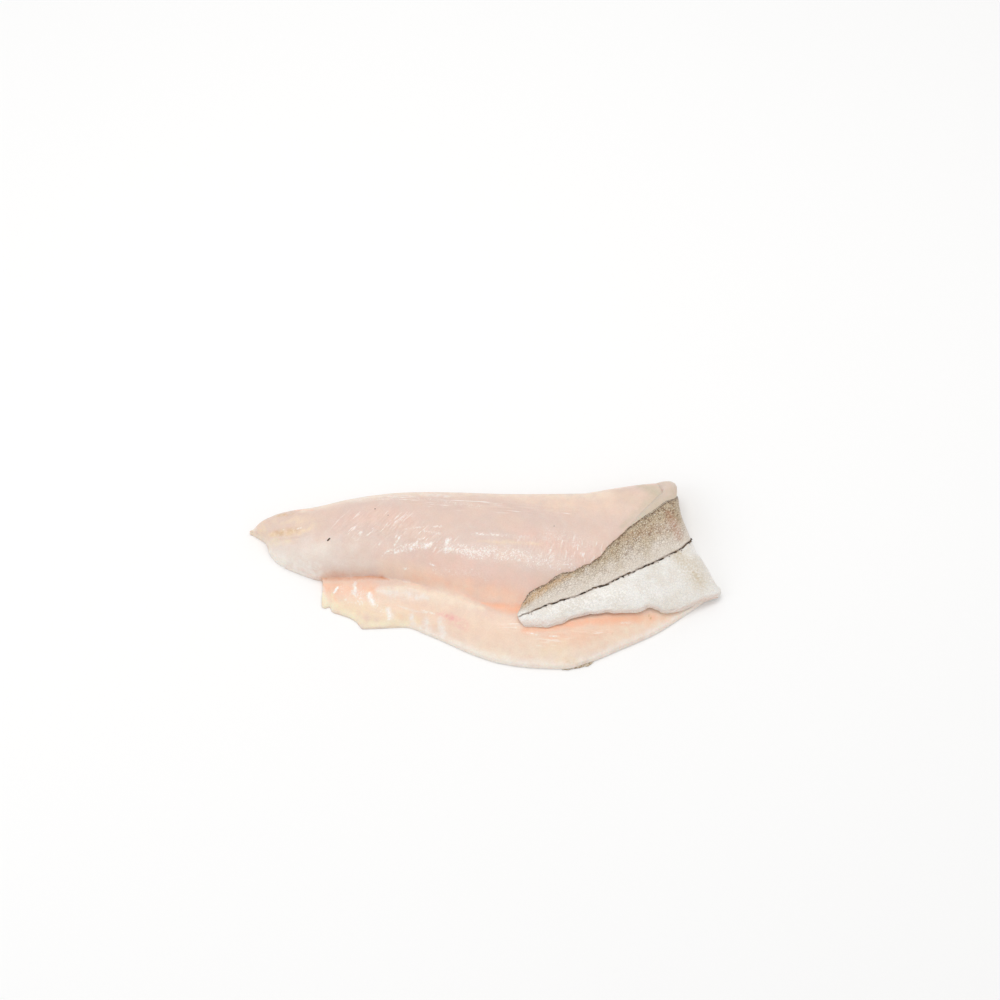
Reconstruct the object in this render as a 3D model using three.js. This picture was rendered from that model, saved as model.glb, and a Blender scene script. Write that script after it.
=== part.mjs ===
// A skin-on haddock fillet, lying on its skin. The thick head end points along -X, and the tail end
// is folded back over the top, so that it shows the silvery skin.
//
// The fillet is one strip of fish, so it is one closed solid: a row of cross-sections that runs from
// the head end to the fold, round the fold, and back over the top to the tip of the tail. Each
// section has a skin side and a flesh side, both running from the back edge to the belly edge.
//
// Millimetres, +Z up. Outlines are laid out with X measured from the head end and Y from the widest
// point of the belly edge. The finished shape is then moved so that the origin is under its middle,
// on the surface that it lies on.

import * as THREE from "three";

// ---- Outlines, seen from above ----
const BACK_EDGE = [
  [0, 80.7], [5, 85.2], [14, 88.8], [41, 93.6], [73, 98.4], [98, 99.7],
  [132, 98.6], [165, 97.8], [184, 100.4], [203, 102.6], [216, 103],
];
// Where the thick loin meets the thinner belly wall.
const LOIN_EDGE = [
  [0, 80.2], [4, 77.4], [7.2, 74.6], [9.6, 68], [14, 62.4], [22, 57.4], [36, 52.4], [50, 50.4],
  [70, 50.2], [80, 46.4], [100, 35.9], [120, 27.2], [140, 23.5], [170, 25], [216, 54],
];
// The belly wall begins with a ragged cut edge, some way behind the head end.
const BELLY_START = 36;
const BELLY_EDGE = [
  [36.5, 38.7], [41, 35.8], [43, 32.2], [51, 28.8], [57, 23.4], [78, 23.8], [90, 19.3],
  [114, 7.8], [126, 3.7], [141.6, 0.9], [157, 0], [169, 3.7], [202, 20], [215.5, 30.1], [226, 39.4],
];
const TAIL_BACK_EDGE = [
  [208.5, 87.5], [203.3, 82.8], [195.5, 76.7], [187.7, 70.2], [179.9, 62.2], [173.5, 54.6],
  [160.9, 46.8], [154.5, 44.4], [148, 38], [139.7, 33.9], [134.8, 27],
];
const TAIL_BELLY_EDGE = [
  [226, 37.8], [211.7, 30.2], [205.4, 27.5], [199.2, 28.1], [193.7, 25.3], [183.9, 25],
  [170, 24.6], [163.7, 22.8], [156, 19], [147, 17.8], [137.5, 18],
];

// ---- Heights of the flesh above the skin ----
const LOIN_HEIGHT = [[0, 2.5], [6, 6.5], [14, 11.5], [30, 17], [50, 20.5], [80, 22.5], [115, 22.5],
  [150, 20], [180, 17], [216, 16.5]];
const BELLY_HEIGHT = [[0, 1], [36, 4.2], [60, 4.6], [80, 6], [110, 9], [140, 10.5], [180, 9.5],
  [216, 5.5]];
// The loin is fullest at this share of the way from the back edge to its lower edge.
const LOIN_PEAK = 0.42;
const LOIN_PEAK_AT_FOLD = 0.28;
const LOIN_ROUNDNESS = 2.4;
// Lower powers give a blunter side. The loin's lower side is blunt at the head end, and further
// back it melts into the belly wall.
const BACK_POWER = 0.5;
const BACK_POWER_AT_FOLD = 0.3;
const LOWER_POWER = 0.45;
const LOWER_POWER_MELTED = 0.85;
const MELT_BEGINS = 66;
const MELT_LENGTH = 60;
const CREASE_FILLET = 0.4;
const MELTED_FILLET = 6;
const BLUNT_AT_FOLD = 0.06; // share of the back side that is cut off upright at the fold
// The belly wall runs on under the loin, and thins towards its cut edge.
const WALL_ROUNDNESS = 1.8;
const WALL_POWER = 0.85;
const WALL_AT_EDGE = 0.06; // share of its height that is left at the cut edge
const WALL_UNDER_LOIN = [0.3, 0.7]; // shares of the loin's width between which it comes in
const CUT_EDGE = 0.8; // thickness of skin and flesh at the cut edges
const EDGE_ROUNDING = 0.2; // how far a cut edge bulges, as a share of its thickness
const BACK_LIFT = 2.6; // the skin curls up at the back edge, as the fish's back is round
const BACK_LIFT_SHARE = 0.26; // of the loin's width
const BACK_LIFT_BEGINS = 25;
const BELLY_RIM = 0.4; // rim of skin beside the loin, ahead of the belly wall

// ---- The fold ----
const FOLD_AT = 214.5; // middle of the crease, from the head end
const FOLD_SLANT = 11; // how far the crease's belly end lies further out, and its back end in
const SLANT_BEGINS = 110;
const FOLD_BULGE = [[0, 6.6], [0.1, 6.8], [0.24, 5.7], [0.37, 5.4], [0.54, 5], [0.65, 6],
  [0.77, 7.2], [0.9, 7.8], [1, 8.4]];
const INNER_BULGE = 1; // of the flesh side, inside the crease
const OPEN_SHARE = 0.08; // of the crease, at its belly end, where the flesh side follows the skin
const SQUEEZE = 2.2; // the flesh is squeezed out sideways at the back end of the crease
const SQUEEZE_BULGE = 6.2;
const INNER_SQUEEZE = 0.6;
const TUCK = 3; // and the skin is drawn in
const BACK_END_SHARE = 0.16;

// ---- The folded tail ----
const TAIL_ARCH = [[0, 4.6], [0.25, 4], [0.6, 2.6], [1, 1.6]]; // of its skin, above its two edges
const TAIL_ARCH_POWER = 0.6;
const TAIL_EDGE = 1.1; // thickness at its edges
const TAIL_THINNEST = 1.6;
const TAIL_FILLET = 1;
const TAIL_GAP = 0.6; // between the folded tail and the flesh that it lies on
const STAND_OFF = 2; // the folded tail's belly edge stands off the flesh, near the fold
const STAND_OFF_SHARE = 0.45; // of its width
const CUT_FACE = 7; // its back edge is cut at a slant, so that flesh shows beyond the skin
const CUT_FACE_SHARE = 0.2;
const CUT_FACE_LENGTH = 0.35;
const TIP_ROUND = 2; // how far the tip's middle stands out past its corners
const TIP_SHARE = 0.125; // of the folded tail's length

// ---- Sections ----
const HEAD_ROWS = 12;
const BODY_ROWS = 30;
const FOLD_ROWS = 8;
const TAIL_ROWS = 18;
const LOIN_STEPS = 13;
const BELLY_STEPS = 7;
const CUT_STEP = 0.5; // length over which the belly wall's cut edge begins
const SEARCH_STEPS = 12; // for the section that runs through a point of the plan

const clamp01 = (value) => Math.min(1, Math.max(0, value));
const mix = (a, b, share) => a + (b - a) * share;
const ease = (value) => {
  const t = clamp01(value);
  return t * t * (3 - 2 * t);
};
// The larger of two heights, with a fillet of the given size where they meet.
const blendMax = (a, b, size) => {
  const near = Math.max(size - Math.abs(a - b), 0) / size;
  return Math.max(a, b) + (near * near * size) / 4;
};

// A smooth curve through [x, y] points that never overshoots them.
function curveThrough(points) {
  const xs = points.map((p) => p[0]);
  const ys = points.map((p) => p[1]);
  const last = points.length - 1;
  const slopes = xs.slice(1).map((x, i) => (ys[i + 1] - ys[i]) / (x - xs[i]));
  const tangents = xs.map((_, i) => {
    if (i === 0) return slopes[0];
    if (i === last) return slopes[last - 1];
    const before = slopes[i - 1];
    const after = slopes[i];
    return before * after <= 0 ? 0 : (2 * before * after) / (before + after);
  });
  return (x) => {
    if (x <= xs[0]) return ys[0];
    if (x >= xs[last]) return ys[last];
    const i = xs.findIndex((_, k) => x < xs[k + 1]);
    const width = xs[i + 1] - xs[i];
    const t = (x - xs[i]) / width;
    const rest = 1 - t;
    return (
      ys[i] * rest * rest * (1 + 2 * t) +
      tangents[i] * width * t * rest * rest +
      ys[i + 1] * t * t * (3 - 2 * t) -
      tangents[i + 1] * width * t * t * rest
    );
  };
}

// A smooth path through plan points, followed by its share of the length, from 0 to 1.
function pathThrough(points) {
  const lengths = [0];
  for (let i = 1; i < points.length; i++) {
    const step = Math.hypot(points[i][0] - points[i - 1][0], points[i][1] - points[i - 1][1]);
    lengths.push(lengths[i - 1] + step);
  }
  const shares = lengths.map((length) => length / lengths[lengths.length - 1]);
  const x = curveThrough(points.map((p, i) => [shares[i], p[0]]));
  const y = curveThrough(points.map((p, i) => [shares[i], p[1]]));
  return (share) => new THREE.Vector2(x(share), y(share));
}

const backEdge = curveThrough(BACK_EDGE);
const loinEdge = curveThrough(LOIN_EDGE);
const cutBellyEdge = curveThrough(BELLY_EDGE);
const bellyEdge = (x) => (x <= BELLY_START ? loinEdge(x) - BELLY_RIM : cutBellyEdge(x));
const loinHeight = curveThrough(LOIN_HEIGHT);
const bellyHeight = curveThrough(BELLY_HEIGHT);
const foldBulge = curveThrough(FOLD_BULGE);
const tailArch = curveThrough(TAIL_ARCH);
const tailBackEdge = pathThrough(TAIL_BACK_EDGE);
const tailBellyEdge = pathThrough(TAIL_BELLY_EDGE);

// ---- The body: a section runs from the back edge to the belly edge, and slants near the fold ----
const nearFold = (at) => ease((at - SLANT_BEGINS) / (FOLD_AT - SLANT_BEGINS));
const slant = (at) => FOLD_SLANT * nearFold(at);
const backPoint = (at) => new THREE.Vector2(at - slant(at), backEdge(at - slant(at)));
const bellyPoint = (at) => new THREE.Vector2(at + slant(at), bellyEdge(at + slant(at)));
const planPoint = (at, share) => backPoint(at).lerp(bellyPoint(at), share);
const loinShare = (at) => (backEdge(at) - loinEdge(at)) / (backEdge(at) - bellyEdge(at));
const foldSplit = loinShare(FOLD_AT);

function loinRise(at, across, melt) {
  const peak = mix(LOIN_PEAK, LOIN_PEAK_AT_FOLD, nearFold(at));
  const backSide = across < peak;
  const blunt = 1 - BLUNT_AT_FOLD * nearFold(at);
  const fromPeak = backSide ? blunt * (1 - across / peak) : (across - peak) / (1 - peak);
  const power = backSide
    ? mix(BACK_POWER, BACK_POWER_AT_FOLD, nearFold(at))
    : mix(LOWER_POWER, LOWER_POWER_MELTED, melt);
  return loinHeight(at) * Math.pow(1 - Math.pow(clamp01(fromPeak), LOIN_ROUNDNESS), power);
}

function wallRise(at, across, outward) {
  const fullness = mix(WALL_AT_EDGE, 1, Math.pow(1 - Math.pow(outward, WALL_ROUNDNESS), WALL_POWER));
  const [from, to] = WALL_UNDER_LOIN;
  return bellyHeight(at) * fullness * ease((across - from) / (to - from));
}

// Height of the skin side: flat on the surface, and curling up at the back edge.
function skinHeight(at, share) {
  const curl = clamp01(1 - share / (BACK_LIFT_SHARE * loinShare(at)));
  return BACK_LIFT * curl * curl * ease(at / BACK_LIFT_BEGINS);
}

// Height of the flesh side. The share runs from the back edge to the belly edge.
function fleshHeight(at, share) {
  const split = loinShare(at);
  const across = share / split;
  const outward = clamp01((share - split) / (1 - split));
  const melt = ease((at - MELT_BEGINS) / MELT_LENGTH);
  const fillet = mix(CREASE_FILLET, mix(CREASE_FILLET, MELTED_FILLET, melt), ease(across));
  const rise = blendMax(loinRise(at, across, melt), wallRise(at, across, outward), fillet);
  return skinHeight(at, share) + CUT_EDGE + rise;
}

// Height of the body's flesh side under a point of the plan.
function bodyTop(point) {
  let at = point.x;
  let share = 0;
  for (let i = 0; i < SEARCH_STEPS; i++) {
    const back = backPoint(at);
    share = clamp01((back.y - point.y) / (back.y - bellyPoint(at).y));
    at = Math.min(FOLD_AT, point.x - slant(at) * (2 * share - 1));
  }
  return fleshHeight(at, share);
}

// ---- The folded tail, from the crease at 0 to the tip at 1 ----
// How far a share of the width is from the two edges: 0 at either edge and 1 in the middle.
const inwardness = (share) => 4 * share * (1 - share);

function tailPoint(along, share) {
  const point = tailBackEdge(along).lerp(tailBellyEdge(along), share);
  const bulge = TIP_ROUND * inwardness(share) * ease(1 - (1 - along) / TIP_SHARE);
  return point.setX(point.x - bulge);
}

// The flesh side reaches further back than the skin, where the back edge is cut at a slant.
function tailFleshPoint(along, share) {
  const point = tailPoint(along, share);
  const reach = CUT_FACE * clamp01(1 - share / CUT_FACE_SHARE) * ease(1 - along / CUT_FACE_LENGTH);
  const backward = tailBackEdge(along).sub(tailBellyEdge(along)).normalize();
  return point.addScaledVector(backward, reach);
}

// Space between the folded tail and the body under it.
function tailGap(along, share) {
  const standOff = STAND_OFF * ease(1 - (1 - share) / STAND_OFF_SHARE) * ease(2 - 2 * along);
  return TAIL_GAP + standOff;
}

const tailFleshHeight = (along, share) =>
  bodyTop(tailFleshPoint(along, share)) + tailGap(along, share);

function tailSkinHeight(along, share) {
  const above = (across, thickness) =>
    bodyTop(tailPoint(along, across)) + tailGap(along, across) + thickness;
  const arch = tailArch(along) * Math.pow(inwardness(share), TAIL_ARCH_POWER);
  const smooth = mix(above(0, TAIL_EDGE), above(1, TAIL_EDGE), share) + arch;
  const thickness = mix(TAIL_EDGE, TAIL_THINNEST, ease(inwardness(share)));
  return blendMax(smooth, above(share, thickness), TAIL_FILLET);
}

// ---- Sections of the strip ----
// Positions across a section, close together near the edges.
function sharesAcross(split) {
  const shares = [];
  for (let i = 0; i < LOIN_STEPS; i++) {
    shares.push((split * (1 - Math.cos((Math.PI * i) / LOIN_STEPS))) / 2);
  }
  for (let i = 0; i <= BELLY_STEPS; i++) {
    shares.push(split + (1 - split) * Math.sin(((Math.PI / 2) * i) / BELLY_STEPS));
  }
  return shares;
}

const upright = (point, z) => new THREE.Vector3(point.x, point.y, z);

// A section is a closed ring: its skin side, its flesh side, and the middle of either cut edge.
function section(skin, flesh) {
  const cutEdge = (i, inward) => {
    const middle = skin[i].clone().lerp(flesh[i], 0.5);
    const outward = skin[i].clone().sub(skin[inward]).setZ(0).normalize();
    return middle.addScaledVector(outward, EDGE_ROUNDING * skin[i].distanceTo(flesh[i]));
  };
  const last = skin.length - 1;
  return { skin, flesh, backCut: cutEdge(0, last), bellyCut: cutEdge(last, 0) };
}

function bodySection(at) {
  const shares = sharesAcross(loinShare(at));
  return section(
    shares.map((share) => upright(planPoint(at, share), skinHeight(at, share))),
    shares.map((share) => upright(planPoint(at, share), fleshHeight(at, share))),
  );
}

function tailSection(along) {
  const shares = sharesAcross(foldSplit);
  return section(
    shares.map((share) => upright(tailPoint(along, share), tailSkinHeight(along, share))),
    shares.map((share) => upright(tailFleshPoint(along, share), tailFleshHeight(along, share))),
  );
}

// Round the fold, from the body's last section at turn 0 to the tail's first at turn PI.
function foldSection(turn, from, to) {
  const shares = sharesAcross(foldSplit);
  const crease = bellyPoint(FOLD_AT).sub(backPoint(FOLD_AT)).normalize();
  const outward = new THREE.Vector3(-crease.y, crease.x, 0);
  const backward = new THREE.Vector3(-crease.x, -crease.y, 0);
  const bend = (start, end, bulge, sideways) =>
    start
      .clone()
      .lerp(end, (1 - Math.cos(turn)) / 2)
      .addScaledVector(outward, Math.sin(turn) * bulge)
      .addScaledVector(backward, Math.sin(turn) * sideways);
  const backEnd = (share) => ease(1 - share / BACK_END_SHARE);
  const openness = (share) => ease(1 - (1 - share) / OPEN_SHARE);
  const innerBulge = (share) => mix(INNER_BULGE, foldBulge(share) - TAIL_EDGE, openness(share));
  return {
    skin: shares.map((share, i) =>
      bend(from.skin[i], to.skin[i], foldBulge(share), -TUCK * backEnd(share)),
    ),
    flesh: shares.map((share, i) =>
      bend(from.flesh[i], to.flesh[i], innerBulge(share), INNER_SQUEEZE * backEnd(share)),
    ),
    backCut: bend(from.backCut, to.backCut, SQUEEZE_BULGE, SQUEEZE),
    bellyCut: bend(from.bellyCut, to.bellyCut, foldBulge(1) - TAIL_EDGE / 2, 0),
  };
}

// Places from first to last, closer together towards the first.
function places(first, last, count) {
  return Array.from({ length: count + 1 }, (_, i) => {
    const even = i / count;
    return mix(first, last, mix(even, 1 - Math.cos((Math.PI / 2) * even), 0.5));
  });
}

function allSections() {
  const head = places(0, BELLY_START, HEAD_ROWS);
  const rest = places(BELLY_START + CUT_STEP, FOLD_AT, BODY_ROWS);
  const body = [...head, ...rest].map(bodySection);
  const tail = Array.from({ length: TAIL_ROWS + 1 }, (_, i) => tailSection(i / TAIL_ROWS));
  const last = body[body.length - 1];
  const fold = Array.from({ length: FOLD_ROWS - 1 }, (_, i) =>
    foldSection((Math.PI * (i + 1)) / FOLD_ROWS, last, tail[0]),
  );
  return [...body, ...fold, ...tail];
}

// Joins the sections into one closed surface of triangles, with a flat cap at either end.
function loft(sections) {
  const rings = sections.map(({ skin, bellyCut, flesh, backCut }) => [
    ...skin,
    bellyCut,
    ...flesh.slice().reverse(),
    backCut,
  ]);
  const around = rings[0].length;
  const half = sections[0].skin.length;
  const positions = rings.flat().flatMap((point) => point.toArray());
  const triangles = [];
  for (let r = 0; r + 1 < rings.length; r++) {
    for (let k = 0; k < around; k++) {
      const next = (k + 1) % around;
      const a = r * around + k;
      const b = r * around + next;
      triangles.push(a, a + around, b, b, a + around, b + around);
    }
  }
  const cap = (first, turned) => {
    const add = (...corners) => {
      const [a, b, c] = (turned ? corners.reverse() : corners).map((n) => first + n);
      triangles.push(a, b, c);
    };
    for (let k = 0; k + 1 < half; k++) {
      const flesh = around - 2 - k;
      add(k, k + 1, flesh);
      add(k + 1, flesh - 1, flesh);
    }
    add(0, around - 2, around - 1);
    add(half - 1, half, half + 1);
  };
  cap(0, false);
  cap((rings.length - 1) * around, true);
  const geometry = new THREE.BufferGeometry();
  geometry.setAttribute("position", new THREE.Float32BufferAttribute(positions, 3));
  geometry.setIndex(triangles);
  geometry.computeVertexNormals();
  return geometry;
}

// Puts the origin under the middle of the shape's box, on the surface that it lies on.
function centre(geometry) {
  geometry.computeBoundingBox();
  const box = geometry.boundingBox;
  const middle = box.getCenter(new THREE.Vector3());
  geometry.translate(-middle.x, -middle.y, -box.min.z);
}

function fillet() {
  const geometry = loft(allSections());
  centre(geometry);
  const flesh = new THREE.MeshStandardMaterial({ color: 0xecd3c6, roughness: 0.35, metalness: 0 });
  const mesh = new THREE.Mesh(geometry, flesh);
  mesh.name = "fillet";
  return mesh;
}

const haddockFillet = new THREE.Group();
haddockFillet.add(fillet());

export default haddockFillet;
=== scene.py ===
"""A skin-on haddock fillet, lying on its skin, with the tail end folded back over the top.

Tables and shape functions are in millimetres, laid out as the fillet is seen from above: X from
the head end, and Y from the widest point of the belly edge. A mesh is made in metres, in the frame
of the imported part.
"""

import bpy
import numpy as np
from bpy.props import FloatProperty, FloatVectorProperty, PointerProperty
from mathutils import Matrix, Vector


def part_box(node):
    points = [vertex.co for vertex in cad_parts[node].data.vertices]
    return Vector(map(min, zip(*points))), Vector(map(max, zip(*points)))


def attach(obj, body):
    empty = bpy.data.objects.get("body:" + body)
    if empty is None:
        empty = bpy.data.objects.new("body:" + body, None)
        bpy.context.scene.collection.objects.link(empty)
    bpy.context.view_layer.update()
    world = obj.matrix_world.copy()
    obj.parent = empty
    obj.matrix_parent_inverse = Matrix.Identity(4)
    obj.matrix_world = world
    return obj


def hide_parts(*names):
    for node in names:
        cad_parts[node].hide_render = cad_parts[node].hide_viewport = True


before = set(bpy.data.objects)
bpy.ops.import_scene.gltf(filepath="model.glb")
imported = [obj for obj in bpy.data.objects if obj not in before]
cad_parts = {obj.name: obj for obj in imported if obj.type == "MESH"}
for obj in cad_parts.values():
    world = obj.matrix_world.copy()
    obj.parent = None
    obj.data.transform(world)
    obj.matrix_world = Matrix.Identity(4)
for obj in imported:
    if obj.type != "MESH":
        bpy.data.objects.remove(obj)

bl_info = {
    "name": "Haddock fillet",
    "version": (1, 0, 0),
    "blender": (4, 5, 0),
    "location": "3D View > Sidebar > Fillet",
    "description": "Builds a raw skin-on haddock fillet around the packed part",
    "category": "Add Mesh",
}

MM = 0.001
ROOT = "root"
NODE = "fillet"

# ---- Outlines, seen from above ----
BACK_EDGE = [
    (0, 80.7), (5, 85.2), (14, 88.6), (27, 89.9), (36, 91.6), (48, 94.6), (73, 98.4), (98, 99.7),
    (132, 98.6), (165, 97.8), (184, 100.4), (203, 102.6), (216, 103),
]
# Where the thick loin meets the thinner belly wall.
LOIN_EDGE = [
    (0, 80.2), (4, 77.4), (7.2, 74.6), (9.6, 68), (14, 62.6), (22, 57.9), (36, 52.5), (48, 51.3),
    (59, 51.5), (68, 50), (80, 46.2), (100, 35.9), (120, 27.2), (140, 23.5), (170, 25), (216, 54),
]
BELLY_START = 36  # the belly wall begins with a ragged cut edge
BELLY_EDGE = [
    (36.5, 36.9), (37.4, 35.8), (40.4, 36.6), (41.6, 33.8), (45.6, 32.2), (50.6, 30.2),
    (54, 27.8), (57.4, 23.8), (78, 24.7), (90, 20), (114, 8.1), (126, 3.9), (141.6, 1.5),
    (157, 0.9), (168, 4.3), (185, 12.4), (202, 21.3), (215.5, 31.2), (226, 39.4),
]
# The tears in that ragged edge.
TEARS_AT = 38
TEARS_LENGTH = 6
TEARS_BELOW_LOIN = 3
TEAR_SIZE = 3.4
TEAR_DEPTH = 0.6
TEAR_LEAN = 0.8  # how far they go in rather than out, as a share of their depth
TAIL_BACK_EDGE = [
    (208.5, 87.5), (203.3, 82.8), (195.5, 76.7), (187.7, 70.2), (179.9, 62.2), (173.5, 54.6),
    (160.9, 46.8), (154.5, 44.6), (147.6, 39.8), (140, 35.6), (136, 31), (134.6, 27),
]
TAIL_BELLY_EDGE = [
    (226, 37.8), (211.7, 30.6), (205, 28.9), (202.2, 30), (197.6, 30.2), (193.9, 27.4),
    (183.9, 26), (170, 24.9), (163.7, 23.5), (156, 20), (147, 17.8), (137.5, 18),
]
# The lateral line on the folded tail, from its tip to the fold.
TAIL_LINE = [
    (134.3, 21.4), (139.7, 23.9), (147, 27.3), (154.4, 29.7), (161.7, 32), (169.1, 35.4),
    (176.5, 38.4), (183.9, 42.4), (193.9, 48), (201.4, 52.5), (209, 57.2), (215.2, 61),
    (220.4, 67.5),
]
# And on the body's skin: its share of the way from the back edge to the belly edge.
BODY_LINE = [(0, 0.5), (20, 0.44), (36, 0.42), (60, 0.36), (110, 0.33), (165, 0.35), (214.5, 0.39)]

# ---- Heights of the flesh above the skin ----
LOIN_HEIGHT = [
    (0, 2.5), (6, 6.5), (14, 11.5), (30, 17), (50, 20.5), (80, 22.5), (115, 22.5), (150, 20),
    (180, 17), (216, 16.5),
]
BELLY_HEIGHT = [
    (0, 1), (36, 2.4), (46, 4), (60, 4.6), (80, 6), (110, 9), (140, 10.5), (180, 9.5), (216, 5.5),
]
LOIN_PEAK = 0.42  # share of the way from the back edge to the loin's lower edge
LOIN_PEAK_AT_FOLD = 0.28
LOIN_ROUNDNESS = 2.4
BACK_POWER = 0.5  # lower powers give a blunter side
BACK_POWER_AT_FOLD = 0.3
LOWER_POWER = 0.45
LOWER_POWER_MELTED = 0.85
MELT_BEGINS = 66  # the loin's lower side melts into the belly wall
MELT_LENGTH = 60
CREASE_FILLET = 0.4  # rounding of the crease between the loin and the belly wall
MELTED_FILLET = 6
BLUNT_AT_FOLD = 0.06
WALL_ROUNDNESS = 1.8
WALL_POWER = 0.85
WALL_AT_EDGE = 0.06  # height of the belly wall at its edge, as a share of its full height
WALL_UNDER_LOIN = (0.3, 0.7)  # shares of the loin's width between which the wall comes up
CUT_EDGE = 0.8  # the flesh is this thick at a cut edge
EDGE_ROUNDING = 0.2  # how far a cut edge bulges, as a share of its thickness
BACK_LIFT = 2.6  # the skin curls up at the back edge
BACK_LIFT_SHARE = 0.26
BACK_LIFT_BEGINS = 25
BELLY_RIM = 0.4  # ahead of the belly wall, the edge runs this far outside the loin
RIM_STEP = 0.5
HEAD_POINT = 1.3  # how far the head end reaches past its first section
BELLY_OVERHANG = 0.29  # how far the rounded cut edge reaches past the plan of the belly edge
EDGE_FOOT = 0.22  # how far the foot of the belly edge stands out
FOOT_SINKS = 0.2  # the middle of that edge lies lower, by this share of its thickness

# ---- The fold, which is the last section of the body turned over ----
FOLD_AT = 214.5
FOLD_SLANT = 11  # the crease's back end stands this far back, and its belly end as far out
SLANT_BEGINS = 110
# How far the skin bulges out round the fold, from the back edge at 0 to the belly edge at 1.
FOLD_BULGE = [
    (0, 8.3), (0.05, 7.9), (0.1, 7.1), (0.24, 5.8), (0.37, 5.6), (0.54, 5.6), (0.65, 6.9),
    (0.77, 8.1), (0.86, 8.6), (0.9, 9.1), (0.95, 10.4), (0.98, 10), (1, 8.6),
]
INNER_BULGE = 0.3  # the flesh inside the fold touches, but for the part near the belly edge
OPEN_SHARE = 0.08
SQUEEZE = 2.2  # the cut face at the back is squeezed out backward
SQUEEZE_BULGE = 9.3
TUCK = 1  # and the skin beside it is tucked in
BACK_END_SHARE = 0.16

# ---- The folded tail ----
TAIL_ARCH = [(0, 4.6), (0.25, 4), (0.6, 2.6), (1, 1.6)]
TAIL_ARCH_POWER = 0.6
TAIL_EDGE = 1.1  # thickness at the edges, and the least in the middle
TAIL_THINNEST = 1.6
TAIL_FILLET = 1
TAIL_GAP = 0.06  # between the two layers of flesh
STAND_OFF = 1.3  # the belly side stands off a little near the fold
STAND_OFF_SHARE = 0.45
CUT_FACE = 7  # width of the slanted cut along the back
CUT_FACE_SHARE = 0.2
CUT_FACE_LENGTH = 0.35
CUT_FACE_SINKS = 0.4
TAIL_LENGTH = 90
TAIL_LIES_ABOVE = 4
TIP_ROUND = 2
TIP_SHARE = 0.125
TAIL_WAVES = ((0.35, 3.1), (0.25, 1.2))  # height and length of the waves in its cut edges
TAIL_WAVES_GROW = 0.45  # up to this share of the tail

# ---- The skin, the lateral line and the loose bit of skin ----
SKIN_STOPS = 0.8  # the skin stops short of the belly edge
DRAWN_IN_SHARE = 0.1
SKIN_WAVES = ((0.10, 7), (0.05, 2.6))
LINE_BEGINS = 3
LINE_LOWEST = -0.05  # on the underside, the line's face lies just outside the skin
LINE_SINKS = 0.04  # how deep its dashes lie in the skin
DASH_HEIGHT = 0.15
DASH_LENGTHS = (1.3, 4.5)
DASH_BREADTHS = (0.35, 1.35)  # as shares of the line's width
LONGEST_BREAK = 1.3
BRIDGE_LENGTH, BRIDGE_BREADTH = 2.6, 0.3  # the thin bridge from a dash to the next one
SPOT_LENGTH, SPOT_BREADTHS = 0.6, (0.1, 0.24)
# Half the width of the lateral line, from the fold at 0 to the tip at 1.
LINE_WIDTH = [
    (0, 0.44), (0.05, 0.6), (0.12, 0.75), (0.2, 0.75), (0.34, 0.5), (0.8, 0.42), (0.95, 0.25),
    (1, 0.12),
]
# How far the loose skin sticks out past the belly edge.
LOOSE_REACH = [
    (154.4, 0), (156, 1.1), (158.6, 1.1), (160, 0.6), (162, 0.8), (164, 1.5), (168, 1.6),
    (170, 1.1), (171.2, 0),
]
LOOSE_TUCKED = 0.7
LOOSE_HEIGHTS = (0.85, 0.35)  # under the belly edge and at the free edge
LOOSE_LUMPS = 0.12
LOOSE_THICKNESS = 0.25
FRAYS = ((0.3, 2.3), (0.175, 0.9))

# ---- The relief of the flesh ----
# Height and length of its waves.
LUMPS = ((0.16, 11), (0.07, 4.3), (0.03, 1.9))
FLAP_LUMPS = ((0.30, 5.2), (0.20, 2.4))
SMOOTH_FLAP = 0.35  # the belly wall's lumps beyond the head end
FLAP_STEP = 1.5
NUB_HEIGHT = 0.7  # the fatty nub at the head end
NUB_STEP = 0.9
GRAIN_HEIGHT = 0.04
RIDGE_HEIGHT = 0.55
VALLEY_DEPTH = 0.5
# The relief calms down towards the cut edges, the fold and the crease.
CALM_SHARE = 0.03
CALM_HEIGHT = 0.25
CALM_AT_FOLD = 5
CALM_AT_CREASE = 0.06
# Width of the pale rim along the cut edges, at most this share of the fillet's width.
PALE_RIM = 3.6
PALE_RIM_SHARE = 0.2

# ---- Fineness of the meshes ----
SEARCH_STEPS = 12  # to find the section that a point of the plan is on
LINE_SEARCH = 3000  # points along the lateral line, to find where it crosses a row
EDGE_CROWDING = 0.35  # how much closer together points lie near the edges
HEAD_CROWDING = 1.5
END_SLIT = 0.35  # the slit that a cap closes at either end of a shell, in rows
NOISE_TABLE = 256
TAIL_ROWS = 236  # of the skin

# ---- The stage, in metres ----
TABLE_HALF = 4.0
TABLE_TOP = -0.0001
DAYLIGHT = 0.74
# Name, place, size, power and tint of each light. They aim at the middle.
LIGHTS = (
    ("overhead softbox", (0.0, 0.25, 1.1), (0.9, 0.6), 3.7, (1.0, 0.985, 0.96)),
    ("left fill", (-1.0, -0.4, 0.8), (0.7, 0.7), 1.6, (0.97, 0.985, 1.0)),
)
EYE = (0.125, -0.7107, 1.1595)  # from the near left corner of the fillet's box
EYE_ELEVATION = 55
LENS = 100
SENSOR = 36
NEAREST, FARTHEST = 0.05, 20


# ---- Small shape functions ----
def clamp01(value):
    return np.clip(value, 0.0, 1.0)


def mix(a, b, share):
    return a + (b - a) * share


def ease(value):
    t = clamp01(value)
    return t * t * (3 - 2 * t)


def blend_max(a, b, size):
    """The larger of two heights, with a fillet of the given size where they meet."""
    near = np.maximum(size - np.abs(a - b), 0) / size
    return np.maximum(a, b) + near * near * size / 4


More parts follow.
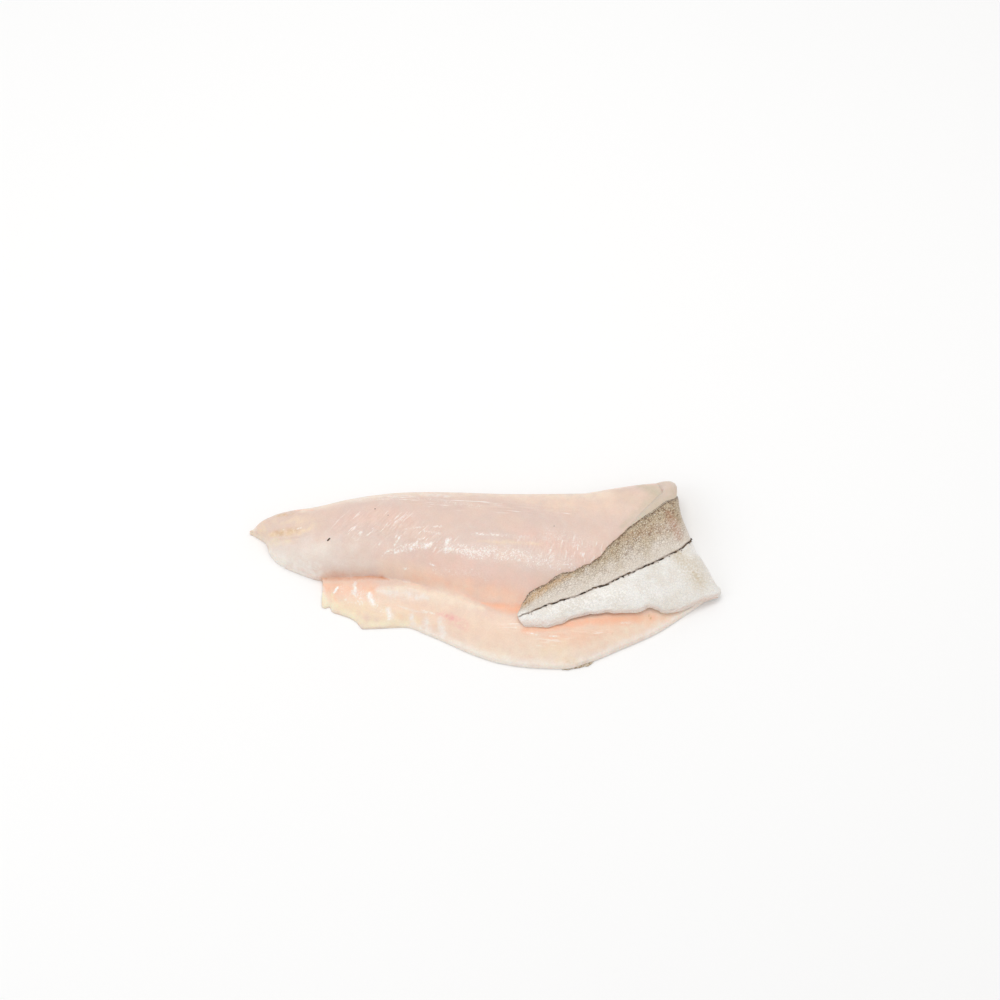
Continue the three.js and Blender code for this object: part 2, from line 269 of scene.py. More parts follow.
def ramp(value, start, end):
    """0 at start and 1 at end, with an easy passage between them."""
    return ease((value - start) / (end - start))


def unit(vectors):
    length = np.linalg.norm(vectors, axis=-1, keepdims=True)
    return vectors / np.maximum(length, 1e-9)


def curve_through(points):
    """A smooth curve through (x, y) points that never overshoots them."""
    xs, ys = np.array(points, float).T
    slopes = np.diff(ys) / np.diff(xs)
    before, after = slopes[:-1], slopes[1:]
    turns = before * after <= 0
    inner = np.where(turns, 0, 2 * before * after / np.where(turns, 1, before + after))
    tangents = np.concatenate([slopes[:1], inner, slopes[-1:]])

    def curve(x):
        x = np.clip(x, xs[0], xs[-1])
        i = np.clip(np.searchsorted(xs, x, side="right") - 1, 0, len(xs) - 2)
        width = xs[i + 1] - xs[i]
        t = (x - xs[i]) / width
        rest = 1 - t
        return (
            ys[i] * rest * rest * (1 + 2 * t)
            + tangents[i] * width * t * rest * rest
            + ys[i + 1] * t * t * (3 - 2 * t)
            - tangents[i + 1] * width * t * t * rest
        )

    return curve


def path_through(points):
    """A smooth path through plan points, followed by its share of the length."""
    points = np.array(points, float)
    steps = np.linalg.norm(np.diff(points, axis=0), axis=1)
    shares = np.concatenate([[0], np.cumsum(steps)]) / steps.sum()
    x = curve_through(list(zip(shares, points[:, 0])))
    y = curve_through(list(zip(shares, points[:, 1])))
    return lambda share: np.stack([x(share), y(share)], -1)


def wander(u, v, size, seed):
    """Smooth random waves from -1 to 1, about as long as the given size."""
    table = np.random.default_rng(seed).uniform(-1, 1, (NOISE_TABLE, NOISE_TABLE))
    a, b = u / size, v / size
    i, j = np.floor(a).astype(int), np.floor(b).astype(int)
    s, t = ease(a - i), ease(b - j)
    i, j = i % NOISE_TABLE, j % NOISE_TABLE
    k, m = (i + 1) % NOISE_TABLE, (j + 1) % NOISE_TABLE
    return mix(mix(table[i, j], table[k, j], s), mix(table[i, m], table[k, m], s), t)


def waves(u, v, sizes, seed):
    """Random waves on top of each other. sizes holds the height and the length of each."""
    return sum(height * wander(u, v, size, seed + i) for i, (height, size) in enumerate(sizes))


def turned(x, y, degrees):
    """The coordinates along and across a direction."""
    angle = np.radians(degrees)
    return x * np.cos(angle) + y * np.sin(angle), y * np.cos(angle) - x * np.sin(angle)


def stroke(x, y, path, softness=1):
    """1 on a brush stroke and 0 away from it. Its path has points (x, y, half-width)."""
    if len(path) == 1:
        path = path * 2
    best = np.zeros(np.broadcast(x, y).shape)
    for (x0, y0, r0), (x1, y1, r1) in zip(path, path[1:]):
        dx, dy = x1 - x0, y1 - y0
        t = clamp01(((x - x0) * dx + (y - y0) * dy) / max(dx * dx + dy * dy, 1e-9))
        away = np.hypot(x - x0 - t * dx, y - y0 - t * dy) / mix(r0, r1, t)
        best = np.maximum(best, 1 - ease((away - 1 + softness) / softness))
    return best


back_edge = curve_through(BACK_EDGE)
loin_edge = curve_through(LOIN_EDGE)
cut_belly_edge = curve_through(BELLY_EDGE)
loin_height = curve_through(LOIN_HEIGHT)
belly_height = curve_through(BELLY_HEIGHT)
fold_bulge = curve_through(FOLD_BULGE)
tail_arch = curve_through(TAIL_ARCH)
tail_back_edge = path_through(TAIL_BACK_EDGE)
tail_belly_edge = path_through(TAIL_BELLY_EDGE)
body_line = curve_through(BODY_LINE)
line_width = curve_through(LINE_WIDTH)
loose_reach = curve_through(LOOSE_REACH)


# ---- The body ----
def belly_edge(x):
    begun = ease((x - BELLY_START) / RIM_STEP)
    return mix(loin_edge(x) - BELLY_RIM, cut_belly_edge(x), begun)


def near_fold(at):
    return ease((at - SLANT_BEGINS) / (FOLD_AT - SLANT_BEGINS))


def back_point(at):
    x = at - FOLD_SLANT * near_fold(at)
    return np.stack([x, back_edge(x)], -1)


def belly_point(at):
    x = at + FOLD_SLANT * near_fold(at)
    return np.stack([x, belly_edge(x)], -1)


def plan_point(at, share):
    point = mix(back_point(at), belly_point(at), share[..., None])
    torn = ease((loin_edge(at) - point[..., 1]) / TEARS_BELOW_LOIN)
    torn = torn * ease(1 - np.abs(at - TEARS_AT) / TEARS_LENGTH)
    tears = TEAR_LEAN + wander(point[..., 1], 0 * at, TEAR_SIZE, 71)
    point[..., 0] += TEAR_DEPTH * tears * torn
    return point


def loin_share(at):
    return (back_edge(at) - loin_edge(at)) / (back_edge(at) - belly_edge(at))


def loin_rise(at, across, melt):
    peak = mix(LOIN_PEAK, LOIN_PEAK_AT_FOLD, near_fold(at))
    back_side = across < peak
    blunt = 1 - BLUNT_AT_FOLD * near_fold(at)
    from_peak = np.where(back_side, blunt * (1 - across / peak), (across - peak) / (1 - peak))
    back_power = mix(BACK_POWER, BACK_POWER_AT_FOLD, near_fold(at))
    power = np.where(back_side, back_power, mix(LOWER_POWER, LOWER_POWER_MELTED, melt))
    return loin_height(at) * (1 - clamp01(from_peak) ** LOIN_ROUNDNESS) ** power


def wall_rise(at, across, outward):
    fullness = mix(WALL_AT_EDGE, 1, (1 - outward**WALL_ROUNDNESS) ** WALL_POWER)
    begins, ends = WALL_UNDER_LOIN
    return belly_height(at) * fullness * ease((across - begins) / (ends - begins))


def skin_height(at, share):
    """Flat on the surface, and curling up at the back edge."""
    curl = clamp01(1 - share / (BACK_LIFT_SHARE * loin_share(at)))
    return BACK_LIFT * curl * curl * ease(at / BACK_LIFT_BEGINS)


def flesh_height(at, share):
    split = loin_share(at)
    across = share / split
    outward = clamp01((share - split) / (1 - split))
    melt = ease((at - MELT_BEGINS) / MELT_LENGTH)
    fillet = mix(CREASE_FILLET, mix(CREASE_FILLET, MELTED_FILLET, melt), ease(across))
    rise = blend_max(loin_rise(at, across, melt), wall_rise(at, across, outward), fillet)
    return skin_height(at, share) + CUT_EDGE + rise


def body_top(point):
    """Height of the body's flesh side under points of the plan."""
    at = point[..., 0]
    for _ in range(SEARCH_STEPS):
        back, belly = back_point(at), belly_point(at)
        share = clamp01((back[..., 1] - point[..., 1]) / (back[..., 1] - belly[..., 1]))
        slant = FOLD_SLANT * near_fold(at)
        at = np.minimum(FOLD_AT, point[..., 0] - slant * (2 * share - 1))
    return flesh_height(at, share)


# ---- The folded tail, from the crease at 0 to the tip at 1 ----
def inwardness(share):
    return 4 * share * (1 - share)


def uneven(along, seed):
    """How far a cut edge of the tail wanders from its smooth path."""
    run = TAIL_LENGTH * along
    return waves(run, 0 * run, TAIL_WAVES, seed) * ease(along / TAIL_WAVES_GROW)


def tail_point(along, share):
    along, share = np.broadcast_arrays(along, share)
    back, belly = tail_back_edge(along), tail_belly_edge(along)
    wanders = mix(uneven(along, 61), uneven(along, 63), share)
    point = mix(back, belly, share[..., None]) + unit(belly - back) * wanders[..., None]
    bulge = TIP_ROUND * inwardness(share) * ease(1 - (1 - along) / TIP_SHARE)
    return point - np.stack([bulge, np.zeros_like(bulge)], -1)


def cut_face(along, share):
    """1 at the outer edge of the slanted cut along the back, and 0 away from it."""
    return clamp01(1 - share / CUT_FACE_SHARE) * ease(1 - along / CUT_FACE_LENGTH)


def tail_flesh_point(along, share):
    """The flesh reaches further back than the skin, where the back edge is cut at a slant."""
    backward = unit(tail_back_edge(along) - tail_belly_edge(along))
    return tail_point(along, share) + backward * CUT_FACE * cut_face(along, share)[..., None]


def tail_gap(along, share):
    stand_off = ease(1 - (1 - share) / STAND_OFF_SHARE) * ease(2 - 2 * along)
    return TAIL_GAP + STAND_OFF * stand_off


def tail_flesh_height(along, share):
    sunk = CUT_FACE_SINKS * cut_face(along, share)
    return body_top(tail_flesh_point(along, share)) + tail_gap(along, share) - sunk


def tail_skin_height(along, share):
    def above(across, thickness):
        return body_top(tail_point(along, across)) + tail_gap(along, across) + thickness

    arch = tail_arch(along) * inwardness(share) ** TAIL_ARCH_POWER
    ends = mix(above(0 * share, TAIL_EDGE), above(0 * share + 1, TAIL_EDGE), share)
    thickness = mix(TAIL_EDGE, TAIL_THINNEST, ease(inwardness(share)))
    return blend_max(ends + arch, above(share, thickness), TAIL_FILLET)


# ---- Sections of the strip, from the head end, round the fold, to the tip of the tail ----
def shares_across(loin_steps, belly_steps, split):
    """Positions across a section, a little closer together near the edges."""
    loin = np.arange(loin_steps) / loin_steps
    loin = mix(loin, (1 - np.cos(np.pi * loin)) / 2, EDGE_CROWDING)
    belly = np.arange(belly_steps + 1) / belly_steps
    belly = mix(belly, np.sin(np.pi / 2 * belly), EDGE_CROWDING)
    return np.concatenate([split * loin, split + (1 - split) * belly], -1)


def raised(plan, height):
    return np.concatenate([plan, height[..., None]], -1)


def cut_edges(lower, upper, thick=None):
    """The middles of the cut edges at the back and at the belly, which bulge outward."""
    middles = []
    for this, other in ((0, -1), (-1, 0)):
        outward = unit((lower[:, this] - lower[:, other]) * (1, 1, 0))
        gap = np.linalg.norm(lower[:, this] - upper[:, this], axis=-1, keepdims=True)
        bulge = EDGE_ROUNDING * (gap if thick is None else thick)
        middles.append((lower[:, this] + upper[:, this]) / 2 + outward * bulge)
    return middles


class Strip:
    """Rows of points on the skin side and on the flesh side, and the middle of either cut edge.

    unfolded is where a skin point lies in the plan of the opened-out fillet, width how wide that
    plan is at each row, and share how far a point is from the back edge to the belly edge. on_body
    is 1 on the body and 0 on fold and tail.
    """

    def __init__(self, ats, alongs, fold_steps, loin_steps, belly_steps):
        steps = (loin_steps, belly_steps)
        turns = np.pi * np.arange(1, fold_steps) / fold_steps
        at = ats[:, None]
        share = shares_across(*steps, loin_share(at))
        plan = plan_point(at + 0 * share, share)
        skin = raised(plan, skin_height(at, share))
        flesh = raised(plan, flesh_height(at, share))
        body = (skin, flesh, *cut_edges(skin, flesh))

        split = loin_share(np.array([[FOLD_AT]]))
        along = alongs[:, None]
        tail_share = shares_across(*steps, split) + 0 * along
        along = along + 0 * tail_share
        tail_plan = tail_point(along, tail_share)
        skin = raised(tail_plan, tail_skin_height(along, tail_share))
        flesh = raised(tail_flesh_point(along, tail_share), tail_flesh_height(along, tail_share))
        tail = (skin, flesh, *cut_edges(skin, flesh))

        start, end = [part[-1] for part in body], [part[0] for part in tail]
        crease = unit(belly_point(FOLD_AT) - back_point(FOLD_AT))
        outward = np.array([-crease[1], crease[0], 0])
        backward = np.array([-crease[0], -crease[1], 0])
        across = tail_share[0]
        back_end = ease(1 - across / BACK_END_SHARE)
        openness = ease(1 - (1 - across) / OPEN_SHARE)
        bulge = fold_bulge(across)
        inner = mix(INNER_BULGE, bulge - TAIL_EDGE, openness)

        def bend(part, out, sideways):
            turn = turns.reshape((-1,) + (1,) * start[part].ndim)
            out, sideways = np.asarray(out)[..., None], np.asarray(sideways)[..., None]
            path = mix(start[part], end[part], (1 - np.cos(turn)) / 2)
            return path + np.sin(turn) * (outward * out + backward * sideways)

        fold = (
            bend(0, bulge, -TUCK * back_end),
            bend(1, inner, 0.0),
            bend(2, SQUEEZE_BULGE, SQUEEZE),
            bend(3, fold_bulge(1.0) - TAIL_EDGE / 2, 0.0),
        )
        parts = [np.concatenate(rows) for rows in zip(body, fold, tail)]
        self.skin, self.flesh, self.back_cut, self.belly_cut = parts
        fold_share = np.repeat(across[None], len(turns), 0)
        self.share = np.concatenate([share, fold_share, tail_share])
        self.on_body = np.concatenate([1 + 0 * ats, 0 * turns, 0 * alongs])

        # Opened out, the tail is the mirror image of its plan beyond the crease, further out by
        # the length of skin round the fold.
        edge = back_point(FOLD_AT)
        out_plan = outward[:2]
        distance = (tail_plan - edge) @ out_plan
        round_fold = np.linalg.norm(np.diff(parts[0][len(ats) - 1 : -len(alongs)], axis=0), axis=-1)
        round_fold = round_fold.sum(0)
        opened = tail_plan + (round_fold - 2 * distance)[..., None] * out_plan
        part_way = (turns / np.pi)[:, None, None]
        fold_open = mix(plan[-1], opened[0], part_way)
        self.unfolded = np.concatenate([plan, fold_open, opened])
        self.width = np.linalg.norm(self.unfolded[:, -1] - self.unfolded[:, 0], axis=-1)[:, None]


def tail_line_share(alongs):
    """Where the lateral line crosses each row of the folded tail."""
    line = path_through(TAIL_LINE)(np.linspace(0, 1, LINE_SEARCH))
    back, belly = tail_back_edge(alongs), tail_belly_edge(alongs)
    across = unit(belly - back)
    reach = line[None] - back[:, None]
    off = np.abs(reach[..., 0] * across[:, None, 1] - reach[..., 1] * across[:, None, 0])
    nearest = reach[np.arange(len(alongs)), off.argmin(1)]
    return (nearest * across).sum(-1) / np.linalg.norm(belly - back, axis=-1)


# ---- Closed shells ----
def spaced(count, step):
    """Every step-th column, and the last one."""
    return np.unique(np.append(np.arange(0, count, step), count - 1))


def arc(lower, upper, middle, steps):
    """Points round a cut edge, from the lower side to the upper side."""
    t = ((np.arange(steps) + 1) / (steps + 1))[None, :, None]
    points = mix(lower[:, None], upper[:, None], t)
    bulge = middle - (lower[:, :3] + upper[:, :3]) / 2
    points[..., :3] += 4 * t * (1 - t) * bulge[:, None]
    return points


def rounded_ends(rings, middles, reaches, steps):
    """Adds rows that close the shell with a round edge at either end."""
    rows = [rings]
    for last, before, reach in ((0, 1, reaches[0]), (-1, -2, reaches[1])):
        ahead = np.zeros(rings.shape[-1])
        ahead[:2] = unit((rings[last] - rings[before])[:, :2].mean(0)) * reach
        extra = []
        for i in range(1, steps + 1):
            turn = np.pi / 2 * i / (steps + END_SLIT)
            shrunk = mix(middles[last], rings[last], np.cos(turn))
            extra.append(shrunk + ahead * np.sin(turn))
        rows = [np.array(extra[::-1])] + rows if last == 0 else rows + [np.array(extra)]
    return np.concatenate(rows)


def cap_faces(points, lower, upper, turned_over):
    """Triangles between two chains of points that start and end beside each other."""

    def lengths(chain):
        steps = np.linalg.norm(np.diff(points[chain], axis=0), axis=1) + 1e-9
        return np.concatenate([[0], np.cumsum(steps)]) / steps.sum()

    low, high = lengths(lower), lengths(upper)
    i = j = 0
    faces = []
    while i < len(lower) - 1 or j < len(upper) - 1:
        if j == len(upper) - 1 or (i < len(lower) - 1 and low[i + 1] <= high[j + 1]):
            face = (lower[i], lower[i + 1], upper[j])
            i += 1
        else:
            face = (lower[i], upper[j + 1], upper[j])
            j += 1
        faces.append(face[::-1] if turned_over else face)
    return faces


def shell(lower, upper, back_middle, belly_middle, steps, reaches):
    """A closed shell between rows of lower and upper points.

    Values that follow the three coordinates of a point are carried along. steps are the column
    steps of the lower and upper sides, the points round a cut edge and the rows round an end.
    reaches are how far the two ends stand out.
    Returns the points with their values, and the faces.
    """
    lower_step, upper_step, cut_steps, end_steps = steps
    low = spaced(lower.shape[1], lower_step)
    high = spaced(upper.shape[1], upper_step)[::-1]
    middle = (lower + upper) / 2
    ones = np.ones((1, cut_steps, 1))
    belly_arc = arc(lower[:, -1], upper[:, -1], belly_middle, cut_steps)
    back_arc = arc(lower[:, 0], upper[:, 0], back_middle, cut_steps)[:, ::-1]
    rings = np.concatenate([lower[:, low], belly_arc, upper[:, high], back_arc], 1)
    middles = [middle[:, low], middle[:, -1:] * ones, middle[:, high], middle[:, :1] * ones]
    rings = rounded_ends(rings, np.concatenate(middles, 1), reaches, end_steps)

    count, around = rings.shape[:2]
    k = np.arange(around)
    base = np.arange(count - 1)[:, None] * around
    a, b = base + k, base + (k + 1) % around
    faces = np.stack([a, a + around, b + around, b], -1).reshape(-1, 4).tolist()
    points = rings.reshape(count * around, -1)
    chain_low = np.arange(len(low))
    chain_high = np.append(np.arange(len(low), around), [])[::-1].astype(int)
    for first, turned_over in ((0, False), ((count - 1) * around, True)):
        chains = first + chain_low, first + chain_high
        faces += cap_faces(points[:, :3], *chains, turned_over)
    return points, faces


def add_piece(name, points, faces, material, slot_name, values):
    """A mesh piece from points in plan millimetres, with named values at its points."""
    mesh = bpy.data.meshes.new(name)
    mesh.from_pydata((points[:, :3] - plan_middle()) * MM, [], faces)
    mesh.shade_smooth()
    for key, value in values.items():
        value = np.asarray(value, np.float32)
        kind, field = ("FLOAT_VECTOR", "vector") if value.ndim == 2 else ("FLOAT", "value")
        mesh.attributes.new(key, kind, "POINT").data.foreach_set(field, value.ravel())
    mesh.materials.append(material)
    piece = bpy.data.objects.new(name, mesh)
    bpy.context.scene.collection.objects.link(piece)
    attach(piece, ROOT)
    return piece


def plan_middle():
    """The plan point that lies at the frame's origin."""
    lo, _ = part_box(NODE)
    return np.array([-lo.x / MM, -lo.y / MM + BELLY_OVERHANG, 0])


# ---- The surface of the flesh ----
def fibres(x, y, degrees, length, width, seed):
    """Fine waves that are drawn out along a direction, from -1 to 1."""
    along, across = turned(x, y, degrees)
    return wander(along / length, across / width, 1, seed)


def flesh_relief(x, y):
    """How far the flesh stands out from its smooth shape."""
    on_flap = ease((loin_edge(x) - y) / FLAP_STEP)
    roughness = mix(SMOOTH_FLAP, 1, on_flap * ramp(x, 90, 70))
    nub = ease((y - nub_edge(x)) / NUB_STEP) * ramp(x, 34, 22) * ramp(x, 0, 4)
    grain = sum(
        fibres(x, y, degrees, length, width, seed) * stroke(x, y, path)
        for degrees, _, length, width, seed, path in FIBRES.values()
    )
    return (
        waves(x, y, LUMPS, 1)
        + waves(x, y, FLAP_LUMPS, 4) * roughness * on_flap
        + NUB_HEIGHT * nub
        + GRAIN_HEIGHT * grain
        + RIDGE_HEIGHT * stroke(x, y, CREAM_BAND)
        - VALLEY_DEPTH * stroke(x, y, VALLEY)
    )


def marked(strokes, x, y):
    """A mask from brush strokes in the plan."""
    best = np.zeros(np.broadcast(x, y).shape)
    for strength, *path_and_softness in strokes:
        best = np.maximum(best, strength * stroke(x, y, *path_and_softness))
    return best


# ---- Material helpers ----
def paint(code):
    """A linear colour from a six-figure sRGB code."""
    parts = np.array([int(code[i : i + 2], 16) for i in (0, 2, 4)]) / 255
    linear = np.where(parts <= 0.04045, parts / 12.92, ((parts + 0.055) / 1.055) ** 2.4)
    return tuple(float(part) for part in linear)


class Nodes:
    """Short ways to add and join the nodes of a tree."""

    def __init__(self, tree):
        self.tree = tree

    def add(self, kind, inputs=None, **settings):
        node = self.tree.nodes.new(kind)
        for key, value in settings.items():
            setattr(node, key, value)
        for key, value in (inputs or {}).items():
            self.put(node.inputs[key], value)
        return node

    def put(self, socket, value):
        if isinstance(value, bpy.types.NodeSocket):
            self.tree.links.new(value, socket)
        else:
            socket.default_value = value

    def math(self, kind, *values, clamp=False):
        node = self.add("ShaderNodeMath", operation=kind, use_clamp=clamp)
        for socket, value in zip(node.inputs, values):
            self.put(socket, value)
        return node.outputs[0]

    def times(self, a, b, clamp=False):
        return self.math("MULTIPLY", a, b, clamp=clamp)

    def plus(self, a, b, clamp=False):
        return self.math("ADD", a, b, clamp=clamp)

    def minus(self, a, b):
        return self.math("SUBTRACT", a, b)

    def times_plus(self, a, b, c):
        return self.math("MULTIPLY_ADD", a, b, c)

    def value(self, name, port="Fac"):
        """A value that the points of the mesh carry."""
        return self.add("ShaderNodeAttribute", attribute_name=name).outputs[port]

    def place(self):
        """Where a point lies on its piece."""
        return self.add("ShaderNodeTexCoord").outputs["Object"]

    def shaken(self, vector, by, reach):
        """A vector moved by up to reach."""
        node = self.add("ShaderNodeVectorMath", operation="MULTIPLY_ADD")
        for socket, value in zip(node.inputs, (by, (reach, reach, reach), vector)):
            self.put(socket, value)
        return node.outputs[0]

    def noise(self, vector, scale, detail=2.0, roughness=0.5):
        inputs = {"Vector": vector, "Scale": scale, "Detail": detail, "Roughness": roughness}
        return self.add("ShaderNodeTexNoise", inputs).outputs["Fac"]

    def between(self, value, low, high, to_low=0.0, to_high=1.0):
        """Smoothly maps low to to_low and high to to_high."""
        node = self.add("ShaderNodeMapRange", interpolation_type="SMOOTHSTEP")
        for socket, setting in zip(node.inputs, (value, low, high, to_low, to_high)):
            self.put(socket, setting)
        return node.outputs[0]

    def blend(self, share, a, b, kind="MIX"):
        node = self.add("ShaderNodeMix", data_type="RGBA", blend_type=kind)
        sockets = [node.inputs[i] for i in (0, 6, 7)]
        for socket, value in zip(sockets, (share, a, b)):
            is_colour = not isinstance(value, (bpy.types.NodeSocket, float, int))
            self.put(socket, (*value[:3], 1.0) if is_colour else value)
        return node.outputs[2]


def group(name, inputs, outputs):
    """A new node group with its sockets, and the nodes that they lead from and to."""
    tree = bpy.data.node_groups.new(name, "ShaderNodeTree")
    for label, kind, default in inputs:
        socket = tree.interface.new_socket(label, in_out="INPUT", socket_type=kind)
        if default is not None:
            socket.default_value = default
    for label, kind in outputs:
        tree.interface.new_socket(label, in_out="OUTPUT", socket_type=kind)
    nodes = Nodes(tree)
    start, end = nodes.add("NodeGroupInput"), nodes.add("NodeGroupOutput")
    return nodes, start.outputs, end


FLOAT, VECTOR = "NodeSocketFloat", "NodeSocketVector"


def ragged_patch_group():
    """Breaks up the soft border of a mask with noise."""
    inputs = [("Mask", FLOAT, 0), ("Vector", VECTOR, None), ("Scale", FLOAT, 200),
              ("Raggedness", FLOAT, 0.6)]
    nodes, given, end = group("Ragged patch", inputs, [("Mask", FLOAT)])
    mask = given["Mask"]
    noise = nodes.noise(given["Vector"], given["Scale"], 3, 0.6)
    swing = nodes.times(nodes.minus(noise, 0.5), given["Raggedness"])
    open_part = nodes.times(mask, nodes.minus(1.15, mask))
    swing = nodes.times(nodes.times(swing, open_part), 8)
    nodes.put(end.inputs["Mask"], nodes.plus(mask, swing, clamp=True))
    return nodes.tree


def wet_film_group():
    """Fine wet grain: bright specks painted as highlights, a height and a roughness."""
    inputs = [("Vector", VECTOR, None), ("Scale", FLOAT, 900), ("Wetness", FLOAT, 0)]
    outputs = [("Specks", FLOAT), ("Height", FLOAT), ("Roughness", FLOAT)]
    nodes, given, end = group("Wet film", inputs, outputs)
    vector, scale, wetness = given["Vector"], given["Scale"], given["Wetness"]
    fine = nodes.noise(vector, scale, 2, 0.55)
    coarse = nodes.noise(vector, nodes.times(scale, 0.35), 2, 0.5)
    shaken = nodes.shaken(vector, nodes.noise(vector, scale, 1), 0.0005)
    grains = nodes.add("ShaderNodeTexVoronoi", {"Vector": shaken, "Scale": scale}).outputs
    chance = nodes.times_plus(grains["Color"], 1.8, -0.4)
    taken = nodes.between(nodes.minus(wetness, chance), -0.1, 0.25)
    taken = nodes.times(taken, nodes.between(wetness, 0.05, 0.4))
    round_grain = nodes.between(grains["Distance"], 0.75, 0.3)
    between_grains = nodes.times(nodes.between(fine, 0.47, 0.6), wetness)
    specks = nodes.times_plus(between_grains, 0.45, nodes.times(round_grain, taken))
    nodes.put(end.inputs["Specks"], nodes.math("MINIMUM", specks, 1.0))
    both = nodes.plus(nodes.times(fine, 0.6), nodes.times(coarse, 0.4))
    nodes.put(end.inputs["Height"], nodes.times(both, nodes.plus(0.25, wetness)))
    dry = nodes.times_plus(coarse, 0.16, 0.36)
    nodes.put(end.inputs["Roughness"], nodes.times_plus(wetness, -0.2, dry))
    return nodes.tree


def fibre_group():
    """Streaks and dashes drawn out along a direction, turned about Z by Angle."""
    inputs = [("Vector", VECTOR, None), ("Angle", FLOAT, 0), ("Scale", FLOAT, 900),
              ("Length", FLOAT, 6)]
    nodes, given, end = group("Fibres", inputs, [("Fibre", FLOAT), ("Dashes", FLOAT)])
    scale = given["Scale"]
    turn = nodes.add("ShaderNodeVectorRotate", {"Vector": given["Vector"],
                     "Angle": nodes.times(given["Angle"], -1)}, rotation_type="Z_AXIS")
    scales = nodes.add("ShaderNodeCombineXYZ", {"Y": scale, "Z": scale,
                       "X": nodes.math("DIVIDE", scale, given["Length"])})
    spread = nodes.add("ShaderNodeVectorMath", operation="MULTIPLY")
    nodes.put(spread.inputs[0], turn.outputs[0])
    nodes.put(spread.inputs[1], scales.outputs[0])
    fibre = nodes.noise(spread.outputs[0], 1.0, 3, 0.55)
    nodes.put(end.inputs["Fibre"], fibre)
    few = nodes.noise(spread.outputs[0], 0.37, 1, 0.4)
    dashes = nodes.times(nodes.between(fibre, 0.53, 0.64), nodes.between(few, 0.52, 0.62))
    nodes.put(end.inputs["Dashes"], dashes)
    return nodes.tree


GROUP_NAMES = {
    ragged_patch_group: "Ragged patch", wet_film_group: "Wet film", fibre_group: "Fibres",
}


def use(nodes, build, **inputs):
    """The outputs of that builder's node group, which is made once."""
    tree = bpy.data.node_groups.get(GROUP_NAMES[build]) or build()
    node = nodes.add("ShaderNodeGroup", node_tree=tree)
    for key, value in inputs.items():
        nodes.put(node.inputs[key.capitalize()], value)
    return node.outputs


def patch(nodes, name, place, scale, raggedness):
    """A painted mask with a ragged border."""
    return use(nodes, ragged_patch_group, mask=nodes.value(name), vector=place,
               scale=scale, raggedness=raggedness)["Mask"]


def new_material(name, settings):
    """A material with a Principled shader that has these even settings."""
    material = bpy.data.materials.new(name)
    material.use_nodes = True
    nodes = Nodes(material.node_tree)
    shader = material.node_tree.nodes["Principled BSDF"]
    for key, value in settings.items():
        shader.inputs[key].default_value = value
    return material, nodes, shader


def join_up(nodes, shader, colour, roughness, height=None, depth=0.0):
    """Joins the colour, the roughness and the relief, whose depth is in metres, to the shader."""
    nodes.put(shader.inputs["Base Color"], colour)
    nodes.put(shader.inputs["Roughness"], roughness)
    if height is not None:
        bump = nodes.add("ShaderNodeBump", {"Height": height, "Distance": depth})
        nodes.put(shader.inputs["Normal"], bump.outputs[0])


# How each painted mask of the flesh is broken up: the fineness and the raggedness. The colour has
# the same name in the settings.
FLESH_TINTS = (
    ("paler", 150, 0.5), ("rosy", 150, 0.5), ("peach", 150, 0.5), ("orange", 180, 0.35),
    ("cream", 200, 0.6), ("fat", 260, 0.7), ("beige", 200, 0.4), ("milky", 420, 0.9),
    ("bruise", 350, 0.8), ("crease", 420, 0.3), ("stain", 500, 1.0), ("pale_rim", 300, 0.5),
    ("lemon", 300, 0.6),
)
# The darker and the lighter shade of the clouds and the grain all over, and of the fibres.
CLOUD_SHADES = (0.985, 0.972, 0.968), (1.015, 1.02, 1.022)
GRAIN_SHADES = (0.975, 0.97, 0.965), (1.02, 1.03, 1.03)
FIBRE_SHADES = (0.945, 0.925, 0.92), (1.015, 1.03, 1.035)


